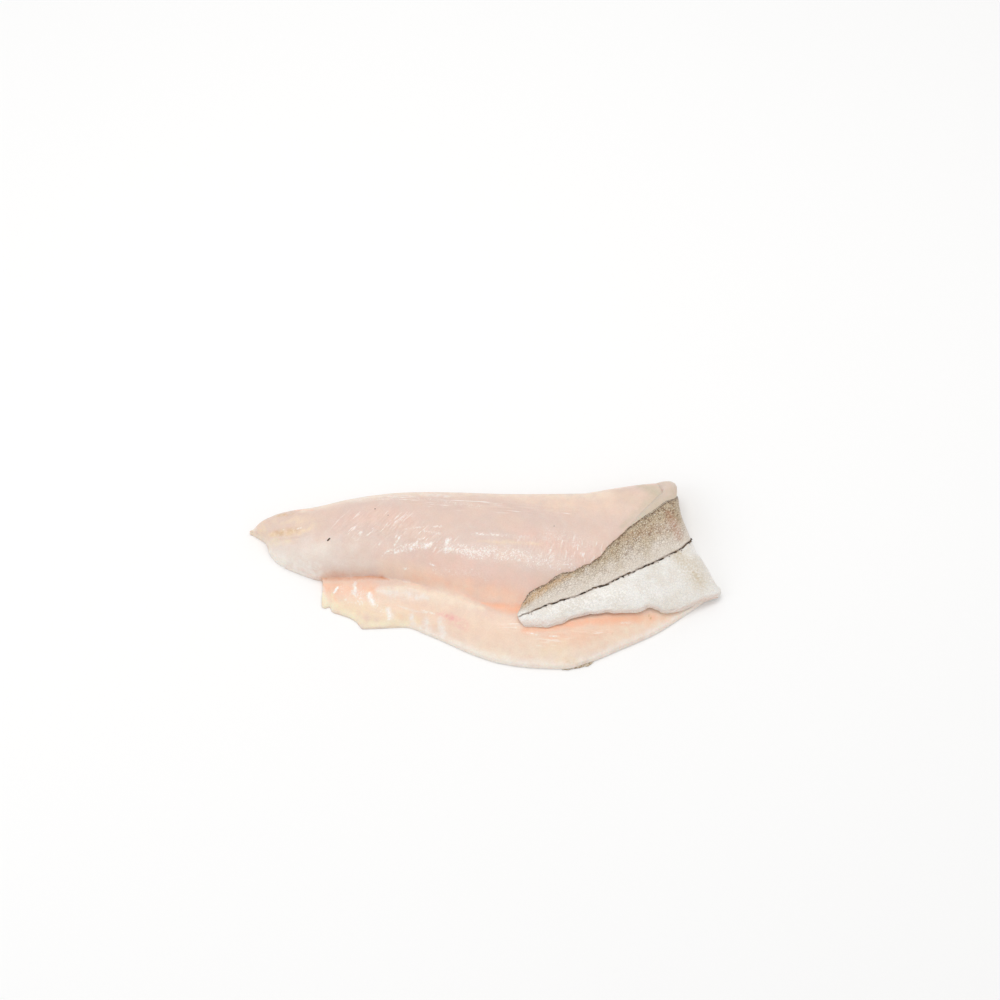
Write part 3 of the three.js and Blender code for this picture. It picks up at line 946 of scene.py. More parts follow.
def flesh_material(look):
    """Wet raw flesh: pinkish white with milky streaks and painted sheen, yellow fat, orange hollows
    with painted shade, and painted highlights.
    """
    material, nodes, shader = new_material("raw haddock flesh", {
        "IOR": 1.38,
        "Subsurface Weight": 0.22,
        "Subsurface Radius": (1.0, 0.5, 0.35),
        "Subsurface Scale": 0.0022,
        "Coat Roughness": 0.12,
        "Coat IOR": 1.36,
    })
    place = nodes.place()

    def shaded(colour, share, shades):
        return nodes.blend(1.0, colour, nodes.blend(share, *shades), "MULTIPLY")

    loin = nodes.between(nodes.noise(place, 60, 3), 0.35, 0.65)
    colour = nodes.blend(loin, look.flesh, look.flesh_rosy)
    for name, scale, raggedness in FLESH_TINTS:
        mask = patch(nodes, name, place, float(scale), raggedness)
        colour = nodes.blend(mask, colour, getattr(look, name))

    # A cloudy tone and a fine grain all over.
    clouds = nodes.between(nodes.noise(place, 170, 4, 0.6), 0.3, 0.7)
    colour = shaded(colour, clouds, CLOUD_SHADES)
    grain = nodes.between(nodes.noise(place, 1500, 2, 0.6), 0.3, 0.7)
    colour = shaded(colour, grain, GRAIN_SHADES)

    # Muscle fibres: faint streaks everywhere they show, and brighter dashes that are painted
    # highlights.
    streaks = bright = 0.0
    for name, (degrees, length, *_) in FIBRES.items():
        found = use(nodes, fibre_group, vector=place, angle=float(np.radians(degrees)),
                    length=length, scale=1000)
        mask = nodes.value(name)
        streaks = nodes.times_plus(nodes.minus(found["Fibre"], 0.5), mask, streaks)
        bright = nodes.times_plus(found["Dashes"], mask, bright)
    colour = shaded(colour, nodes.between(streaks, -0.2, 0.2), FIBRE_SHADES)
    colour = nodes.blend(nodes.times(bright, 0.8, clamp=True), colour, look.painted_highlight)

    # Wet patches, which come in clusters: a milky wash of painted sheen, with bright specks and
    # single glints that are painted highlights.
    clusters = nodes.between(nodes.noise(place, 330, 3, 0.6), 0.36, 0.6, 0.45, 1)
    wetness = nodes.times(nodes.value("wet"), clusters)
    wet = use(nodes, wet_film_group, vector=place, wetness=wetness, scale=1500.0)
    colour = nodes.blend(nodes.times(wetness, 0.22), colour, look.milky)
    colour = nodes.blend(nodes.times(wet["Specks"], 0.6), colour, look.painted_highlight)
    colour = nodes.blend(patch(nodes, "glint", place, 900.0, 1.3), colour, look.painted_highlight)
    coat = nodes.times_plus(nodes.value("wet"), 0.5, 0.15)
    nodes.put(shader.inputs["Coat Weight"], coat)
    height = nodes.plus(wet["Height"], nodes.times(streaks, 0.8))
    join_up(nodes, shader, colour, wet["Roughness"], height, 0.0003)
    return material


def skin_material(look, scale_size):
    """Scaled skin: a speckled net above the lateral line, silvery below it."""
    material, nodes, shader = new_material("haddock skin", {
        "IOR": 1.42,
        "Subsurface Weight": 0.08,
        "Subsurface Radius": (1.0, 0.7, 0.5),
        "Subsurface Scale": 0.001,
        "Coat Roughness": 0.18,
    })
    place = nodes.value("opened", "Vector")
    above = nodes.value("above")  # millimetres above the lateral line
    broad = nodes.noise(place, 110, 3)
    middling = nodes.noise(place, 420, 3, 0.6)
    fine = nodes.noise(place, 2100, 2, 0.6)

    shaken = nodes.shaken(place, nodes.noise(place, 300, 2), 0.0014)
    cells = nodes.add("ShaderNodeMapping", {"Vector": shaken, "Scale": (0.75, 1, 1)}).outputs[0]
    inputs = {"Vector": cells, "Scale": 1 / scale_size, "Randomness": 1.0}
    net = nodes.add("ShaderNodeTexVoronoi", inputs, feature="DISTANCE_TO_EDGE").outputs[0]
    line = nodes.between(net, 0.03, 0.17, 1, 0)

    # Brown on the back, silver below the lateral line, and golden in places.
    on_back = nodes.times(nodes.between(above, -0.5, 0.9), nodes.minus(1.0, nodes.value("bare")))
    height_on_back = nodes.times_plus(nodes.minus(broad, 0.5), 30, above)
    upper = nodes.blend(nodes.between(height_on_back, 3, 19), look.back_light, look.back_olive)
    lower = nodes.blend(nodes.between(broad, 0.35, 0.65), look.silver, look.silver_warm)
    colour = nodes.blend(on_back, lower, upper)
    gold = nodes.times(nodes.between(middling, 0.52, 0.66), nodes.between(above, 5, 20, 0.05, 0.4))
    gold_patch = patch(nodes, "golden", place, 600.0, 1.2)
    colour = nodes.blend(nodes.math("MAXIMUM", gold, gold_patch), colour, look.golden)

    # The net is dark on the back, and nearly fades out below the line.
    reach = nodes.between(above, -3, 22, 0.1, 0.9)
    reach = nodes.math("MAXIMUM", reach, nodes.times(gold_patch, 0.7))
    patchy = nodes.between(nodes.noise(place, 300, 3), 0.34, 0.6, 0.25, 1)
    colour = nodes.blend(nodes.times(nodes.times(line, reach), patchy), colour, look.net)
    specks = nodes.times(nodes.between(fine, 0.54, 0.64), nodes.between(above, -5, 15, 0.12, 0.75))
    colour = nodes.blend(specks, colour, look.net)
    cool = nodes.times(nodes.between(fine, 0.45, 0.33), nodes.between(above, 4, -2, 0.15, 0.8))
    colour = nodes.blend(cool, colour, look.silver_cool)
    # The faint patches are brown spots and painted shade beside the fold.
    for name, tint in (("reddish", look.reddish), ("faint", look.back_olive),
                       ("blush", look.flesh_rosy)):
        colour = nodes.blend(patch(nodes, name, place, 1000.0, 0.8), colour, tint)

    # A dark rim along the back, a stain under the lateral line, and wet flecks and grains painted
    # as highlights.
    rim_reach = nodes.times_plus(nodes.minus(middling, 0.5), 5, nodes.value("from_back"))
    rim = nodes.between(rim_reach, 0.3, 2.8, 0.9, 0)
    rim = nodes.times(rim, nodes.between(nodes.noise(place, 1500, 2), 0.4, 0.54, 0.15, 1))
    colour = nodes.blend(rim, colour, look.dark_rim)
    stain = nodes.between(nodes.math("ABSOLUTE", above), 0.2, 1.0, 0.6, 0)
    colour = nodes.blend(stain, colour, look.net)
    flecks = nodes.between(nodes.noise(place, 1100, 2, 0.5), 0.62, 0.7, 0, 0.65)
    colour = nodes.blend(flecks, colour, look.painted_highlight)
    wet = use(nodes, wet_film_group, vector=place, wetness=nodes.value("wet"), scale=1300.0)
    colour = nodes.blend(nodes.times(wet["Specks"], 0.85), colour, look.painted_highlight)
    nodes.put(shader.inputs["Coat Weight"], nodes.times_plus(wet["Specks"], 0.4, 0.2))
    height = nodes.plus(nodes.times(line, -0.7), wet["Height"])
    join_up(nodes, shader, colour, wet["Roughness"], height, 0.00012)
    return material


def line_material(look):
    """The dark pigment of the lateral line."""
    settings = {"IOR": 1.38, "Coat Weight": 0.05, "Coat Roughness": 0.3}
    material, nodes, shader = new_material("lateral line pigment", settings)
    tone = nodes.noise(nodes.place(), 900, 3)
    colour = nodes.blend(nodes.between(tone, 0.48, 0.66), look.line, look.line_edge)
    join_up(nodes, shader, colour, nodes.between(tone, 0.2, 0.8, 0.5, 0.7), tone, 0.0001)
    return material


def speck_material(look):
    """The few dark specks in the flesh."""
    settings = {"IOR": 1.4, "Coat Weight": 0.3, "Coat Roughness": 0.15}
    material, nodes, shader = new_material("dark speck", settings)
    tone = nodes.noise(nodes.place(), 2500, 2)
    colour = nodes.blend(tone, look.speck, look.line_edge)
    join_up(nodes, shader, colour, nodes.between(tone, 0.2, 0.8, 0.25, 0.5))
    return material


def loose_skin_material(look):
    """Grey frayed skin with brown pigment."""
    settings = {"IOR": 1.4, "Coat Weight": 0.3, "Coat Roughness": 0.15}
    material, nodes, shader = new_material("loose skin", settings)
    place = nodes.place()
    tone = nodes.noise(place, 700, 3, 0.6)
    colour = nodes.blend(nodes.between(tone, 0.45, 0.65), look.back_olive, look.silver_warm)
    pigment = nodes.between(nodes.noise(place, 1100, 3, 0.6), 0.44, 0.6, 0.15, 0.6)
    colour = nodes.blend(pigment, colour, look.net)
    join_up(nodes, shader, colour, nodes.between(tone, 0.2, 0.8, 0.3, 0.5), tone, 0.0001)
    return material


def floor_material(look):
    """A plain pale table top."""
    material, nodes, shader = new_material("pale table top", {"IOR": 1.3})
    tone = nodes.noise(nodes.place(), 3, 2)
    colour = nodes.blend(tone, look.floor, tuple(0.985 * part for part in look.floor))
    join_up(nodes, shader, colour, nodes.between(tone, 0, 1, 0.75, 0.85))
    return material


# ---- Where the flesh and the skin have their marks ----
# A brush stroke has a strength, its points (x, y, half-width), and its softness where it isn't 1.
nub_edge = curve_through([
    (0, 75.4), (4, 72.6), (8, 70.4), (14, 69), (19, 68), (25, 67.4), (30, 68.6), (36, 71.2),
    (60, 74),
])
# Muscle fibres: their direction in degrees, how much longer than wide a streak is, the length,
# width and seed of the waves that they make, and where they show.
FIBRES = {
    "diagonal": (47, 6, 5.5, 1.0, 6, [(50, 72, 12), (66, 72, 16), (84, 66, 14), (100, 60, 8)]),
    "upright": (78, 5, 4.5, 0.9, 7, [(138, 58, 10), (156, 60, 12), (172, 58, 10)]),
    "lengthways": (-3, 9, 9, 1.1, 8, [(60, 90, 6), (90, 86, 8), (125, 83, 7), (160, 80, 6)]),
}
BELLY_FIBRES = [(126, 20, 6), (150, 14, 7), (176, 16, 5)]
CREAM_BAND = [(70, 45, 3), (79, 43.5, 5), (92, 39.5, 6), (105, 34.5, 5), (116, 30, 3)]
VALLEY = [(104, 40.5, 2), (114, 33.5, 3), (124, 29.6, 4), (136, 28, 5)]
PAINT = {
    "paler": [
        (0.9, [(8, 68, 6), (20, 62, 9), (30, 61, 12), (38, 59, 11)]),
        (0.5, [(38, 60, 14), (52, 59, 12)]),
        (0.3, [(52, 58, 14), (72, 56, 12)]),
        # Painted light: lifts the shade on the loin's steep lower side, above the crease.
        (0.6, [(33, 55.6, 4), (50, 54.4, 4.4), (66, 54, 4)]),
        (0.3, [(30, 84, 5), (45, 88, 6), (62, 90, 5)]),
    ],
    "rosy": [
        (0.35, [(45, 74, 8), (62, 77, 10), (80, 76, 9)]),
        (0.45, [(136, 66, 9), (155, 60, 12), (172, 55, 10)]),
        (0.35, [(66, 54, 12), (84, 53, 12), (100, 50, 12)]),
        (0.6, [(92, 50, 12), (106, 48, 12), (126, 43, 12), (142, 40, 6)]),
        (0.4, [(120, 24, 8), (134, 22, 8), (150, 20, 7)]),
    ],
    "peach": [
        (0.5, [(134, 90, 8), (160, 86, 12), (184, 86, 14), (204, 90, 12)]),
        (1, [(34, 42, 14), (52, 38, 16), (66, 36, 14), (92, 28, 16), (120, 17, 19),
             (150, 12, 15), (185, 20, 12), (212, 32, 9)]),
        # Painted light along the loin's steep lower side, lifting its shade.
        (0.55, [(66, 53, 4), (80, 50, 5), (98, 43, 6), (116, 37, 6), (132, 33, 5)]),
    ],
    # The belly wall's orange tint and orange spots, and painted shade in the valley between the
    # loin and the belly wall.
    "orange": [
        (0.48, [(38, 46.6, 5), (46, 45, 7), (60, 44, 8)]),
        (0.3, [(80, 48, 4), (98, 43, 7), (118, 37.6, 9), (134, 33.6, 8)]),
        (0.3, [(98, 41.4, 1.4), (112, 35, 2.8), (120, 31.6, 3.6)]),
        # Painted shade under the tip of the folded tail, and painted shadow under its belly edge.
        (0.72, [(116, 32.6, 1), (122, 30.8, 3), (129, 29.2, 5.2), (138, 28, 6)]),
        (0.7, [(137, 16.5, 3), (150, 18, 3.5), (165, 21, 4.5), (180, 23.5, 5), (196, 25, 5),
               (207, 27, 4), (214, 30, 2.4)]),
        (0.3, [(150, 12, 8), (175, 15, 9), (192, 20, 7)]),
        (0.3, [(182, 99.4, 1.6), (190, 100.6, 2), (198, 101.6, 1.6)]),
        (0.35, [(21, 86, 1.8), (27, 85.4, 2.4), (31, 84.4, 1.8)]),
        (0.3, [(42.4, 41, 1.8), (43.4, 37.6, 2)]),
        (0.25, [(74.6, 31, 1.8), (76.4, 27, 2.2)]),
    ],
    "cream": [
        (0.7, [(66, 43, 4), (79, 42.5, 7), (92, 38.5, 7), (105, 33.5, 5.5), (116, 29, 3)]),
        (0.7, [(92, 12, 8), (108, 10, 8), (124, 6, 9), (142, 5, 9), (158, 5, 9)]),
        (0.6, [(165, 7, 8), (180, 14, 8), (200, 23, 6), (216, 32, 5)]),
        (0.5, [(26, 85, 4), (50, 90, 6), (90, 94, 7), (140, 94, 7), (180, 94, 6)]),
    ],
    "fat": [
        (0.45, [(0, 80, 4), (6, 79, 7)]),
        (0.28, [(12, 80, 8), (24, 77, 9), (32, 74, 7)]),
        (0.6, [(7, 74.4, 1.8), (12, 72.8, 3), (18, 71.2, 3.6), (25, 70.6, 3.2), (30, 71.4, 2)]),
        (0.35, [(8, 70.6, 2.6), (16, 68.2, 3.2), (23, 67, 2.6)]),
        (0.8, [(41.4, 42, 1.8), (42.6, 38, 2)]),
        (0.7, [(42, 37, 4), (54, 33, 9), (66, 31, 8), (78, 28, 6), (84, 26, 4)]),
        (0.5, [(50, 29.5, 4), (58, 26, 5), (70, 25.5, 6), (80, 25, 4)]),
        (0.4, [(114, 60.6, 1.2), (128, 60.4, 2), (146, 60.4, 1.4)]),
        (0.3, [(146, 8, 5), (156, 9, 6)]),
        (0.7, [(150, 1, 3), (157, 2, 4), (163, 2.6, 3)]),
    ],
    "beige": [
        (0.8, [(196, 99, 4), (203, 95, 7), (207, 91, 9), (208, 86, 6)]),
        (0.5, [(205, 95, 7), (200, 88, 5.5), (193, 81, 4), (186, 73, 2.4)]),
        (0.2, [(186, 92, 9), (198, 87, 9)]),
    ],
    # Membrane and connective tissue, with painted sheen on the belly flap and painted light on the
    # head end's lower side.
    "milky": [
        (0.4, [(-2, 80.6, 2.2), (1, 80.4, 2.4)]),
        # Painted light: lifts the shade on the lower side of the head end.
        (0.6, [(11, 64.4, 3), (19, 59.2, 4.4), (28, 55.6, 4.4), (35, 53.6, 3)]),
        (0.5, [(37.2, 47, 1.2), (37.6, 42, 1.6), (38.4, 38.4, 1.8)]),
        (0.55, [(65, 43.4, 2.8), (72, 41.6, 4.6), (82, 39, 4.2), (89, 37.4, 2.4)]),
        # Painted sheen: lilac-white patches, a light line and bands on the belly flap.
        (0.8, [(52.6, 47.6, 1.9), (52.9, 42.4, 2.2)]),
        (0.6, [(60, 42, 1.8), (61, 38.6, 2.8), (62.4, 35.6, 1.8)]),
        (0.8, [(69.6, 33, 2), (70.8, 29, 2.6)]),
        (0.5, [(74.4, 34.6, 0.5), (82, 31.6, 0.7), (89, 29.6, 0.5)]),
        (0.3, [(77.4, 47.6, 1.3), (80, 46.8, 1.2)]),
        (0.65, [(81.2, 30, 2.2), (82.2, 24.8, 2.6)]),
        (0.65, [(88.6, 26, 2.8), (89.8, 21, 3.2)]),
        (0.65, [(96, 25, 3.2), (97, 18.6, 3.4)]),
        (0.4, [(100, 12.4, 3), (115, 6, 3), (128, 2, 3), (140, 0, 2.5)]),
        (0.5, [(86, 91.6, 2.4), (92, 91.2, 3), (99, 90, 2.2)]),
        (0.35, [(48, 89, 0.8), (62, 91, 1.2), (80, 90, 0.9)]),
        (0.3, [(98, 87, 0.8), (112, 86, 0.9), (126, 85, 0.7)]),
    ],
    "lemon": [
        (0.9, [(36.6, 43, 1.6), (37.4, 40, 2.4), (38.6, 37, 3)]),
        (0.75, [(42, 36.4, 2.2), (50, 31.6, 2.8), (58, 26, 3), (70, 25.6, 3.2), (79, 26, 2.6)]),
    ],
    "bruise": [
        (0.85, [(99, 26.8, 2.4), (101.2, 25.2, 2.6)]),
        (0.35, [(95, 28.4, 3), (101, 25.4, 4.6), (108, 21, 4)]),
    ],
    # A reddish line, with painted shade where the loin overhangs the belly wall.
    "crease": [
        (0.55, [(35.6, 51.6, 1.6), (42, 51, 2.6), (50, 50.6, 2.2), (60, 50.8, 1.7),
                (69, 49.4, 1)]),
        (0.85, [(52, 51.2, 0.5), (60, 51.4, 0.8), (66, 50.5, 1), (69.8, 49.1, 0.5)]),
    ],
    "stain": [
        (0.35, [(13, 84, 2.2), (20, 83.4, 3)]),
        (0.36, [(11, 73.6, 2.2), (17, 72, 3.4), (24, 71.4, 3)]),
        (0.4, [(151, 0.4, 1), (156, 1, 1.8), (162, 1.6, 1.6), (167, 3.4, 1)]),
        (0.6, [(158, 2.2, 1.2), (161, 2.4, 1.2)]),
        (0.4, [(180.4, 16.6, 1.1)]),
        (0.7, [(198, 27.6, 0.5), (199.6, 26.2, 0.5)]),
    ],
    # Painted highlights: bright wet glints on the belly flap, the head end and the loin.
    "glint": [
        (1, [(42.8, 43.2, 0.9), (44.4, 45.4, 1)], 0.7),
        (0.5, [(52.4, 47.6, 0.9), (53.4, 45, 1.1), (53, 42.6, 0.9)]),
        (0.5, [(52.6, 41.6, 0.5), (54.4, 38.2, 0.5), (55.8, 35.4, 0.4)]),
        (0.4, [(54.4, 41.2, 0.4), (56.4, 37.4, 0.5), (57.2, 35.2, 0.4)]),
        (0.35, [(47.6, 36.6, 0.4), (50.4, 37.4, 0.5), (54, 36.6, 0.4)]),
        (0.5, [(48.4, 38.8, 0.9)]),
        (0.85, [(60, 41.8, 0.9), (60.8, 38.6, 1.6), (62.4, 35.8, 1.1)], 0.9),
        (0.5, [(69.6, 33.2, 1), (70.6, 30, 1.5), (70.2, 27.6, 0.8)]),
        (0.5, [(86.6, 31.4, 0.4), (92.4, 28.8, 0.5)], 0.9),
        (0.4, [(137, 15.6, 0.5), (143, 14.6, 0.5)]),
        (0.45, [(149, 13.8, 0.5), (154, 14, 0.4)]),
        (0.3, [(142, 9.6, 0.4), (147, 9, 0.4)]),
        (0.5, [(184, 22, 0.4), (189, 22.6, 0.4)]),
        (0.5, [(24, 72.4, 0.8), (26, 72.6, 0.6)]),
        (0.45, [(17, 73.6, 0.7)]),
        (0.5, [(70.6, 73.2, 0.5), (68, 70.2, 0.4)]),
        (0.4, [(78.6, 76.4, 0.4), (70.4, 68.6, 0.4)]),
        (0.45, [(66, 62, 0.6), (64.2, 60, 0.5)]),
        (0.75, [(75.6, 64.4, 0.6), (72.6, 60, 0.6)]),
        (0.5, [(70.8, 58.4, 0.5), (68, 57.2, 0.5)]),
        (0.35, [(66.6, 56.4, 0.5)]),
        (0.8, [(73, 57.2, 0.8), (75, 57.4, 0.9)]),
        (0.7, [(76.6, 57.8, 0.9)]),
        (0.6, [(84.8, 62.6, 0.9), (80.6, 57.8, 1)]),
        (1, [(87.8, 58.6, 1), (90.6, 60.2, 1.5)]),
        (0.6, [(100, 62.6, 0.9), (97.8, 59, 1.2), (98.4, 55.4, 0.9)]),
        (0.65, [(92, 69, 0.5), (95.6, 69.4, 0.8)]),
        (0.35, [(78, 68, 0.4), (87, 69.2, 0.5)]),
        (0.6, [(90.4, 51.4, 0.5), (92.8, 50, 0.5)]),
        (0.4, [(77, 51, 0.5), (79.6, 50.8, 0.5)]),
        (0.5, [(113.4, 65, 0.8), (116.4, 64.8, 0.9)]),
        (0.5, [(121.4, 64.6, 0.6), (126, 64, 0.8)]),
        (0.4, [(131.4, 63.6, 0.6), (136.8, 63, 0.6)]),
        (0.5, [(150.4, 58, 0.9), (149, 55, 0.7)]),
        (0.45, [(158, 58, 0.5), (157.2, 53, 0.5)]),
    ],
    # Where the flesh is wet: a glossier coat, a grain, painted sheen and painted highlights.
    "wet": [
        (0.8, [(70, 58, 2), (78, 58.8, 3.4), (88, 59.4, 3)]),
        (0.9, [(99.4, 62, 2.4), (98.2, 57, 3.2)]),
        (1, [(102, 57.6, 3.4), (108, 56, 5), (114, 54.8, 6), (119, 54.4, 5)]),
        (0.6, [(116, 55, 7), (134, 53.4, 7)]),
        (0.45, [(134, 53, 8), (150, 51, 9), (160, 50, 7)]),
        (0.7, [(88, 66.6, 1.4), (95, 65.4, 1.4)]),
        (0.4, [(111, 65, 1.6), (124, 64.6, 2), (139, 64, 1.4)]),
        (0.25, [(92, 48, 3), (112, 46, 4), (120, 42, 3)]),
        (0.35, [(41, 45, 4), (52, 43, 6), (62, 38, 6), (66, 32, 5)]),
        (0.15, [(130, 20, 5), (140, 15, 5), (156, 14, 6)]),
        (0.3, [(150, 66, 10), (168, 62, 10)]),
        (0.3, [(52, 88, 4), (84, 88, 4), (116, 82, 4)]),
    ],
}
SKIN_PAINT = {
    "golden": [(0.85, [(136.4, 28.6, 2.4), (142, 33.4, 4.2), (149, 38.6, 4), (159, 43.4, 2.4)])],
    "bare": [(1, [(134, 23.6, 3.4), (136.6, 24.6, 2.6)])],
    "blush": [(0.5, [(135, 19, 3), (148, 18.6, 3.4), (160, 21, 2.6)])],
    # Brown spots, and painted shade on the skin beside the fold.
    "faint": [
        (0.42, [(212, 57, 5), (219, 52, 10), (224, 45, 8)]),
        (0.75, [(221, 49, 2.4), (223, 46.4, 2.2)]),
        (0.7, [(212, 59, 1.8), (215, 58, 1.6)]),
        (0.3, [(198, 44, 2.4)]),
    ],
    "reddish": [
        (0.5, [(209, 80, 3), (211, 75, 5), (214, 67, 4)]),
        (0.16, [(186, 64, 4), (200, 70, 6), (209, 72, 7)]),
    ],
    # Wet skin: a glossier coat with painted highlights.
    "wet": [(0.5, [(150, 24, 6), (180, 33, 8), (200, 38, 9)])],
}


# ---- Pieces ----
def body_stations(head_rows, body_rows):
    """Where the body's sections stand, closer together at the head end."""
    head = np.linspace(0, 1, head_rows) ** HEAD_CROWDING * BELLY_START
    rim = BELLY_START + RIM_STEP * np.array([0.15, 0.35, 0.55, 0.75])
    rest = np.linspace(BELLY_START + RIM_STEP, FOLD_AT, body_rows)
    return np.concatenate([head, rim, rest])


def inside(strip, depth):
    """The skin side, moved into the flesh."""
    depth = np.broadcast_to(depth, strip.share.shape)[..., None]
    return strip.skin + unit(strip.flesh - strip.skin) * depth


def with_values(points, *values):
    """Points with more values behind their coordinates."""
    layers = [np.broadcast_to(value, points.shape[:2])[..., None] for value in values]
    return np.concatenate([points, *layers], -1)


def flesh_values(x, y, z, shown, from_edge, upper):
    """The masks of the flesh. shown is 1 on the side that lies open, upper 1 on a flesh side."""
    values = {name: marked(strokes, x, y) * shown for name, strokes in PAINT.items()}
    for name, (*_, path) in FIBRES.items():
        values[name] = stroke(x, y, path) * shown
    on_belly = 0.7 * stroke(x, y, BELLY_FIBRES) * shown
    values["lengthways"] = np.maximum(values["lengthways"], on_belly)

    # The cut face at the fold is beige at the back, and paler towards the belly edge, where painted
    # light lifts the shade under the fold.
    folded = (1 - shown) * ramp(z, 0, TAIL_LIES_ABOVE) * ramp(x, 150, 180)
    cut = folded * mix(0.85, 0.3, upper) * ramp(y, 48, 62)
    values["beige"] = np.maximum(values["beige"], cut)

    # The thin edges are painted pale, as painted light showing through them, but not beside the
    # torn end, and less so on the fat belly wall, at the point of the head end and on the back edge
    # near the fold.
    beside_tears = (x < BELLY_START + RIM_STEP) * (y < 70) * ramp(x, 22, 35)
    on_fat = (y < 60) * ramp(x, 96, 66)
    pale = 0.7 * (1 - 0.7 * on_fat) * (1 - (y > 75) * ramp(x, 182, 198))
    pale = pale * (1 - ease(from_edge)) * (1 - folded) * (1 - beside_tears)
    pale *= mix(0.2, 1, ramp(x, 2, 16))
    values["pale_rim"] = np.maximum(pale, 0.8 * folded * ramp(y, 42, 34))
    return values


def build_flesh(sizes, look):
    """The flesh, with its relief on the side that lies up, and under the folded tail."""
    ats = body_stations(head_rows=66, body_rows=290)
    alongs = np.linspace(0, 1, 60)
    strip = Strip(ats, alongs, fold_steps=14, loin_steps=104, belly_steps=46)
    count = len(ats)
    calm = ramp(strip.share, 0, CALM_SHARE) * ramp(strip.share, 1, 1 - CALM_SHARE)
    calm = mix(CALM_HEIGHT, 1, calm)[:count] * ramp(ats, FOLD_AT, FOLD_AT - CALM_AT_FOLD)[:, None]
    top, under_tail = strip.flesh[:count], strip.flesh[-len(alongs) :]
    top[..., 2] += flesh_relief(top[..., 0], top[..., 1]) * calm
    calm = ramp(alongs, 0, CALM_AT_CREASE)[:, None]
    under_tail[..., 2] += flesh_relief(under_tail[..., 0], under_tail[..., 1]) * calm

    # The lower side lies a little way inside the skin, which stops short of the belly edge.
    on_body = strip.on_body[:, None]
    from_back, from_belly = strip.share * strip.width, (1 - strip.share) * strip.width
    covered = 1 - on_body * (1 - ease(from_belly / SKIN_STOPS))
    lower = inside(strip, (sizes.skin_thickness - sizes.skin_bedding) / MM * covered)
    outward = unit((strip.skin[:, -1] - strip.skin[:, 0]) * (1, 1, 0))
    lower[:, -1] += outward * EDGE_FOOT * on_body
    strip.belly_cut -= (strip.flesh[:, -1] - strip.skin[:, -1]) * FOOT_SINKS * on_body

    rim = np.minimum(PALE_RIM, PALE_RIM_SHARE * strip.width)
    from_edge = np.minimum(from_back, from_belly) / rim
    points, faces = shell(
        with_values(lower, 0, from_edge, 0),
        with_values(strip.flesh, on_body, from_edge, 1),
        strip.back_cut, strip.belly_cut, steps=(6, 1, 6, 6), reaches=(HEAD_POINT, CUT_EDGE / 2),
    )
    values = flesh_values(*points.T)
    piece = add_piece("flesh", points, faces, flesh_material(look), "flesh", values)
    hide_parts(NODE)


def skin_strip():
    """The strip of the skin, with the lateral line's share of each row."""
    ats = body_stations(head_rows=24, body_rows=140)
    fold_steps = 40
    alongs = np.linspace(0, 1, TAIL_ROWS)
    strip = Strip(ats, alongs, fold_steps, loin_steps=90, belly_steps=58)
    tail_line = tail_line_share(alongs)
    round_fold = np.arange(1, fold_steps) / fold_steps
    on_fold = mix(body_line(FOLD_AT), tail_line[0], round_fold)
    strip.line = np.concatenate([body_line(ats), on_fold, tail_line])
    strip.out = unit(strip.skin - strip.flesh)
    return strip


def build_skin(sizes, look):
    """The skin, on the body's underside, round the fold and over the tail."""
    strip = skin_strip()
    thickness = sizes.skin_thickness / MM
    u, v = strip.unfolded[..., 0], strip.unfolded[..., 1]
    relief = waves(u, v, SKIN_WAVES, 21) * (1 - strip.on_body[:, None])
    outer = strip.skin + strip.out * relief[..., None]
    outer[..., 2] = np.maximum(outer[..., 2], 0)
    inner = inside(strip, thickness)
    drawn_in = ramp(strip.share, 1 - DRAWN_IN_SHARE, 1) * strip.on_body[:, None]
    for side in (outer, inner):
        side[..., 1] += SKIN_STOPS * drawn_in
    above = (strip.line[:, None] - strip.share) * strip.width
    from_back, from_belly = strip.share * strip.width, (1 - strip.share) * strip.width
    carried = (u, v, above, from_back, from_belly)
    points, faces = shell(
        with_values(outer, *carried), with_values(inner, *carried),
        *cut_edges(outer, inner, thickness), steps=(1, 6, 3, 3), reaches=(CUT_EDGE / 2,) * 2,
    )
    x, y, z, u, v, above, from_back, from_belly = points.T
    tail = z > TAIL_LIES_ABOVE
    values = {name: marked(strokes, x, y) * tail for name, strokes in SKIN_PAINT.items()}
    # The flesh shows through along the tail's thin belly edge.
    see_through = 0.6 * ramp(from_belly, 1.6, 0) * tail
    values["blush"] = np.maximum(values["blush"], see_through)
    values["opened"] = np.stack([u, v, 0 * u], -1) * MM
    values["above"], values["from_back"] = above, from_back
    add_piece("skin", points, faces, skin_material(look, sizes.scale_size), "skin", values)


def bead(centre, forward, out, sizes):
    """A closed lens, longer along one direction. Returns its points and its faces."""
    around, rings = 10, 5
    turn = 2 * np.pi * np.arange(around) / around
    tilt = np.pi * np.arange(1, rings + 1) / (rings + 1)
    local = [(np.cos(t) * np.ones(around), np.sin(t) * np.cos(turn), np.sin(t) * np.sin(turn))
             for t in tilt]
    local = np.array(local).transpose(0, 2, 1).reshape(-1, 3)
    local = np.concatenate([[(1, 0, 0)], local, [(-1, 0, 0)]]) * sizes
    side = np.cross(out, forward)
    points = centre + local @ np.array([forward, side, out])
    faces = []
    for k in range(around):
        after = (k + 1) % around
        faces.append((0, 1 + k, 1 + after))
        for r in range(rings - 1):
            a, b = 1 + r * around, 1 + (r + 1) * around
            faces.append((a + k, b + k, b + after, a + after))
        last = 1 + (rings - 1) * around
        faces.append((last + k, len(points) - 1, last + after))
    return points, faces


def joined(parts):
    """The points and faces of several parts, as one mesh."""
    points, faces, first = [], [], 0
    for part_points, part_faces in parts:
        points.append(part_points)
        faces += [tuple(first + corner for corner in face) for face in part_faces]
        first += len(part_points)
    return np.concatenate(points), faces


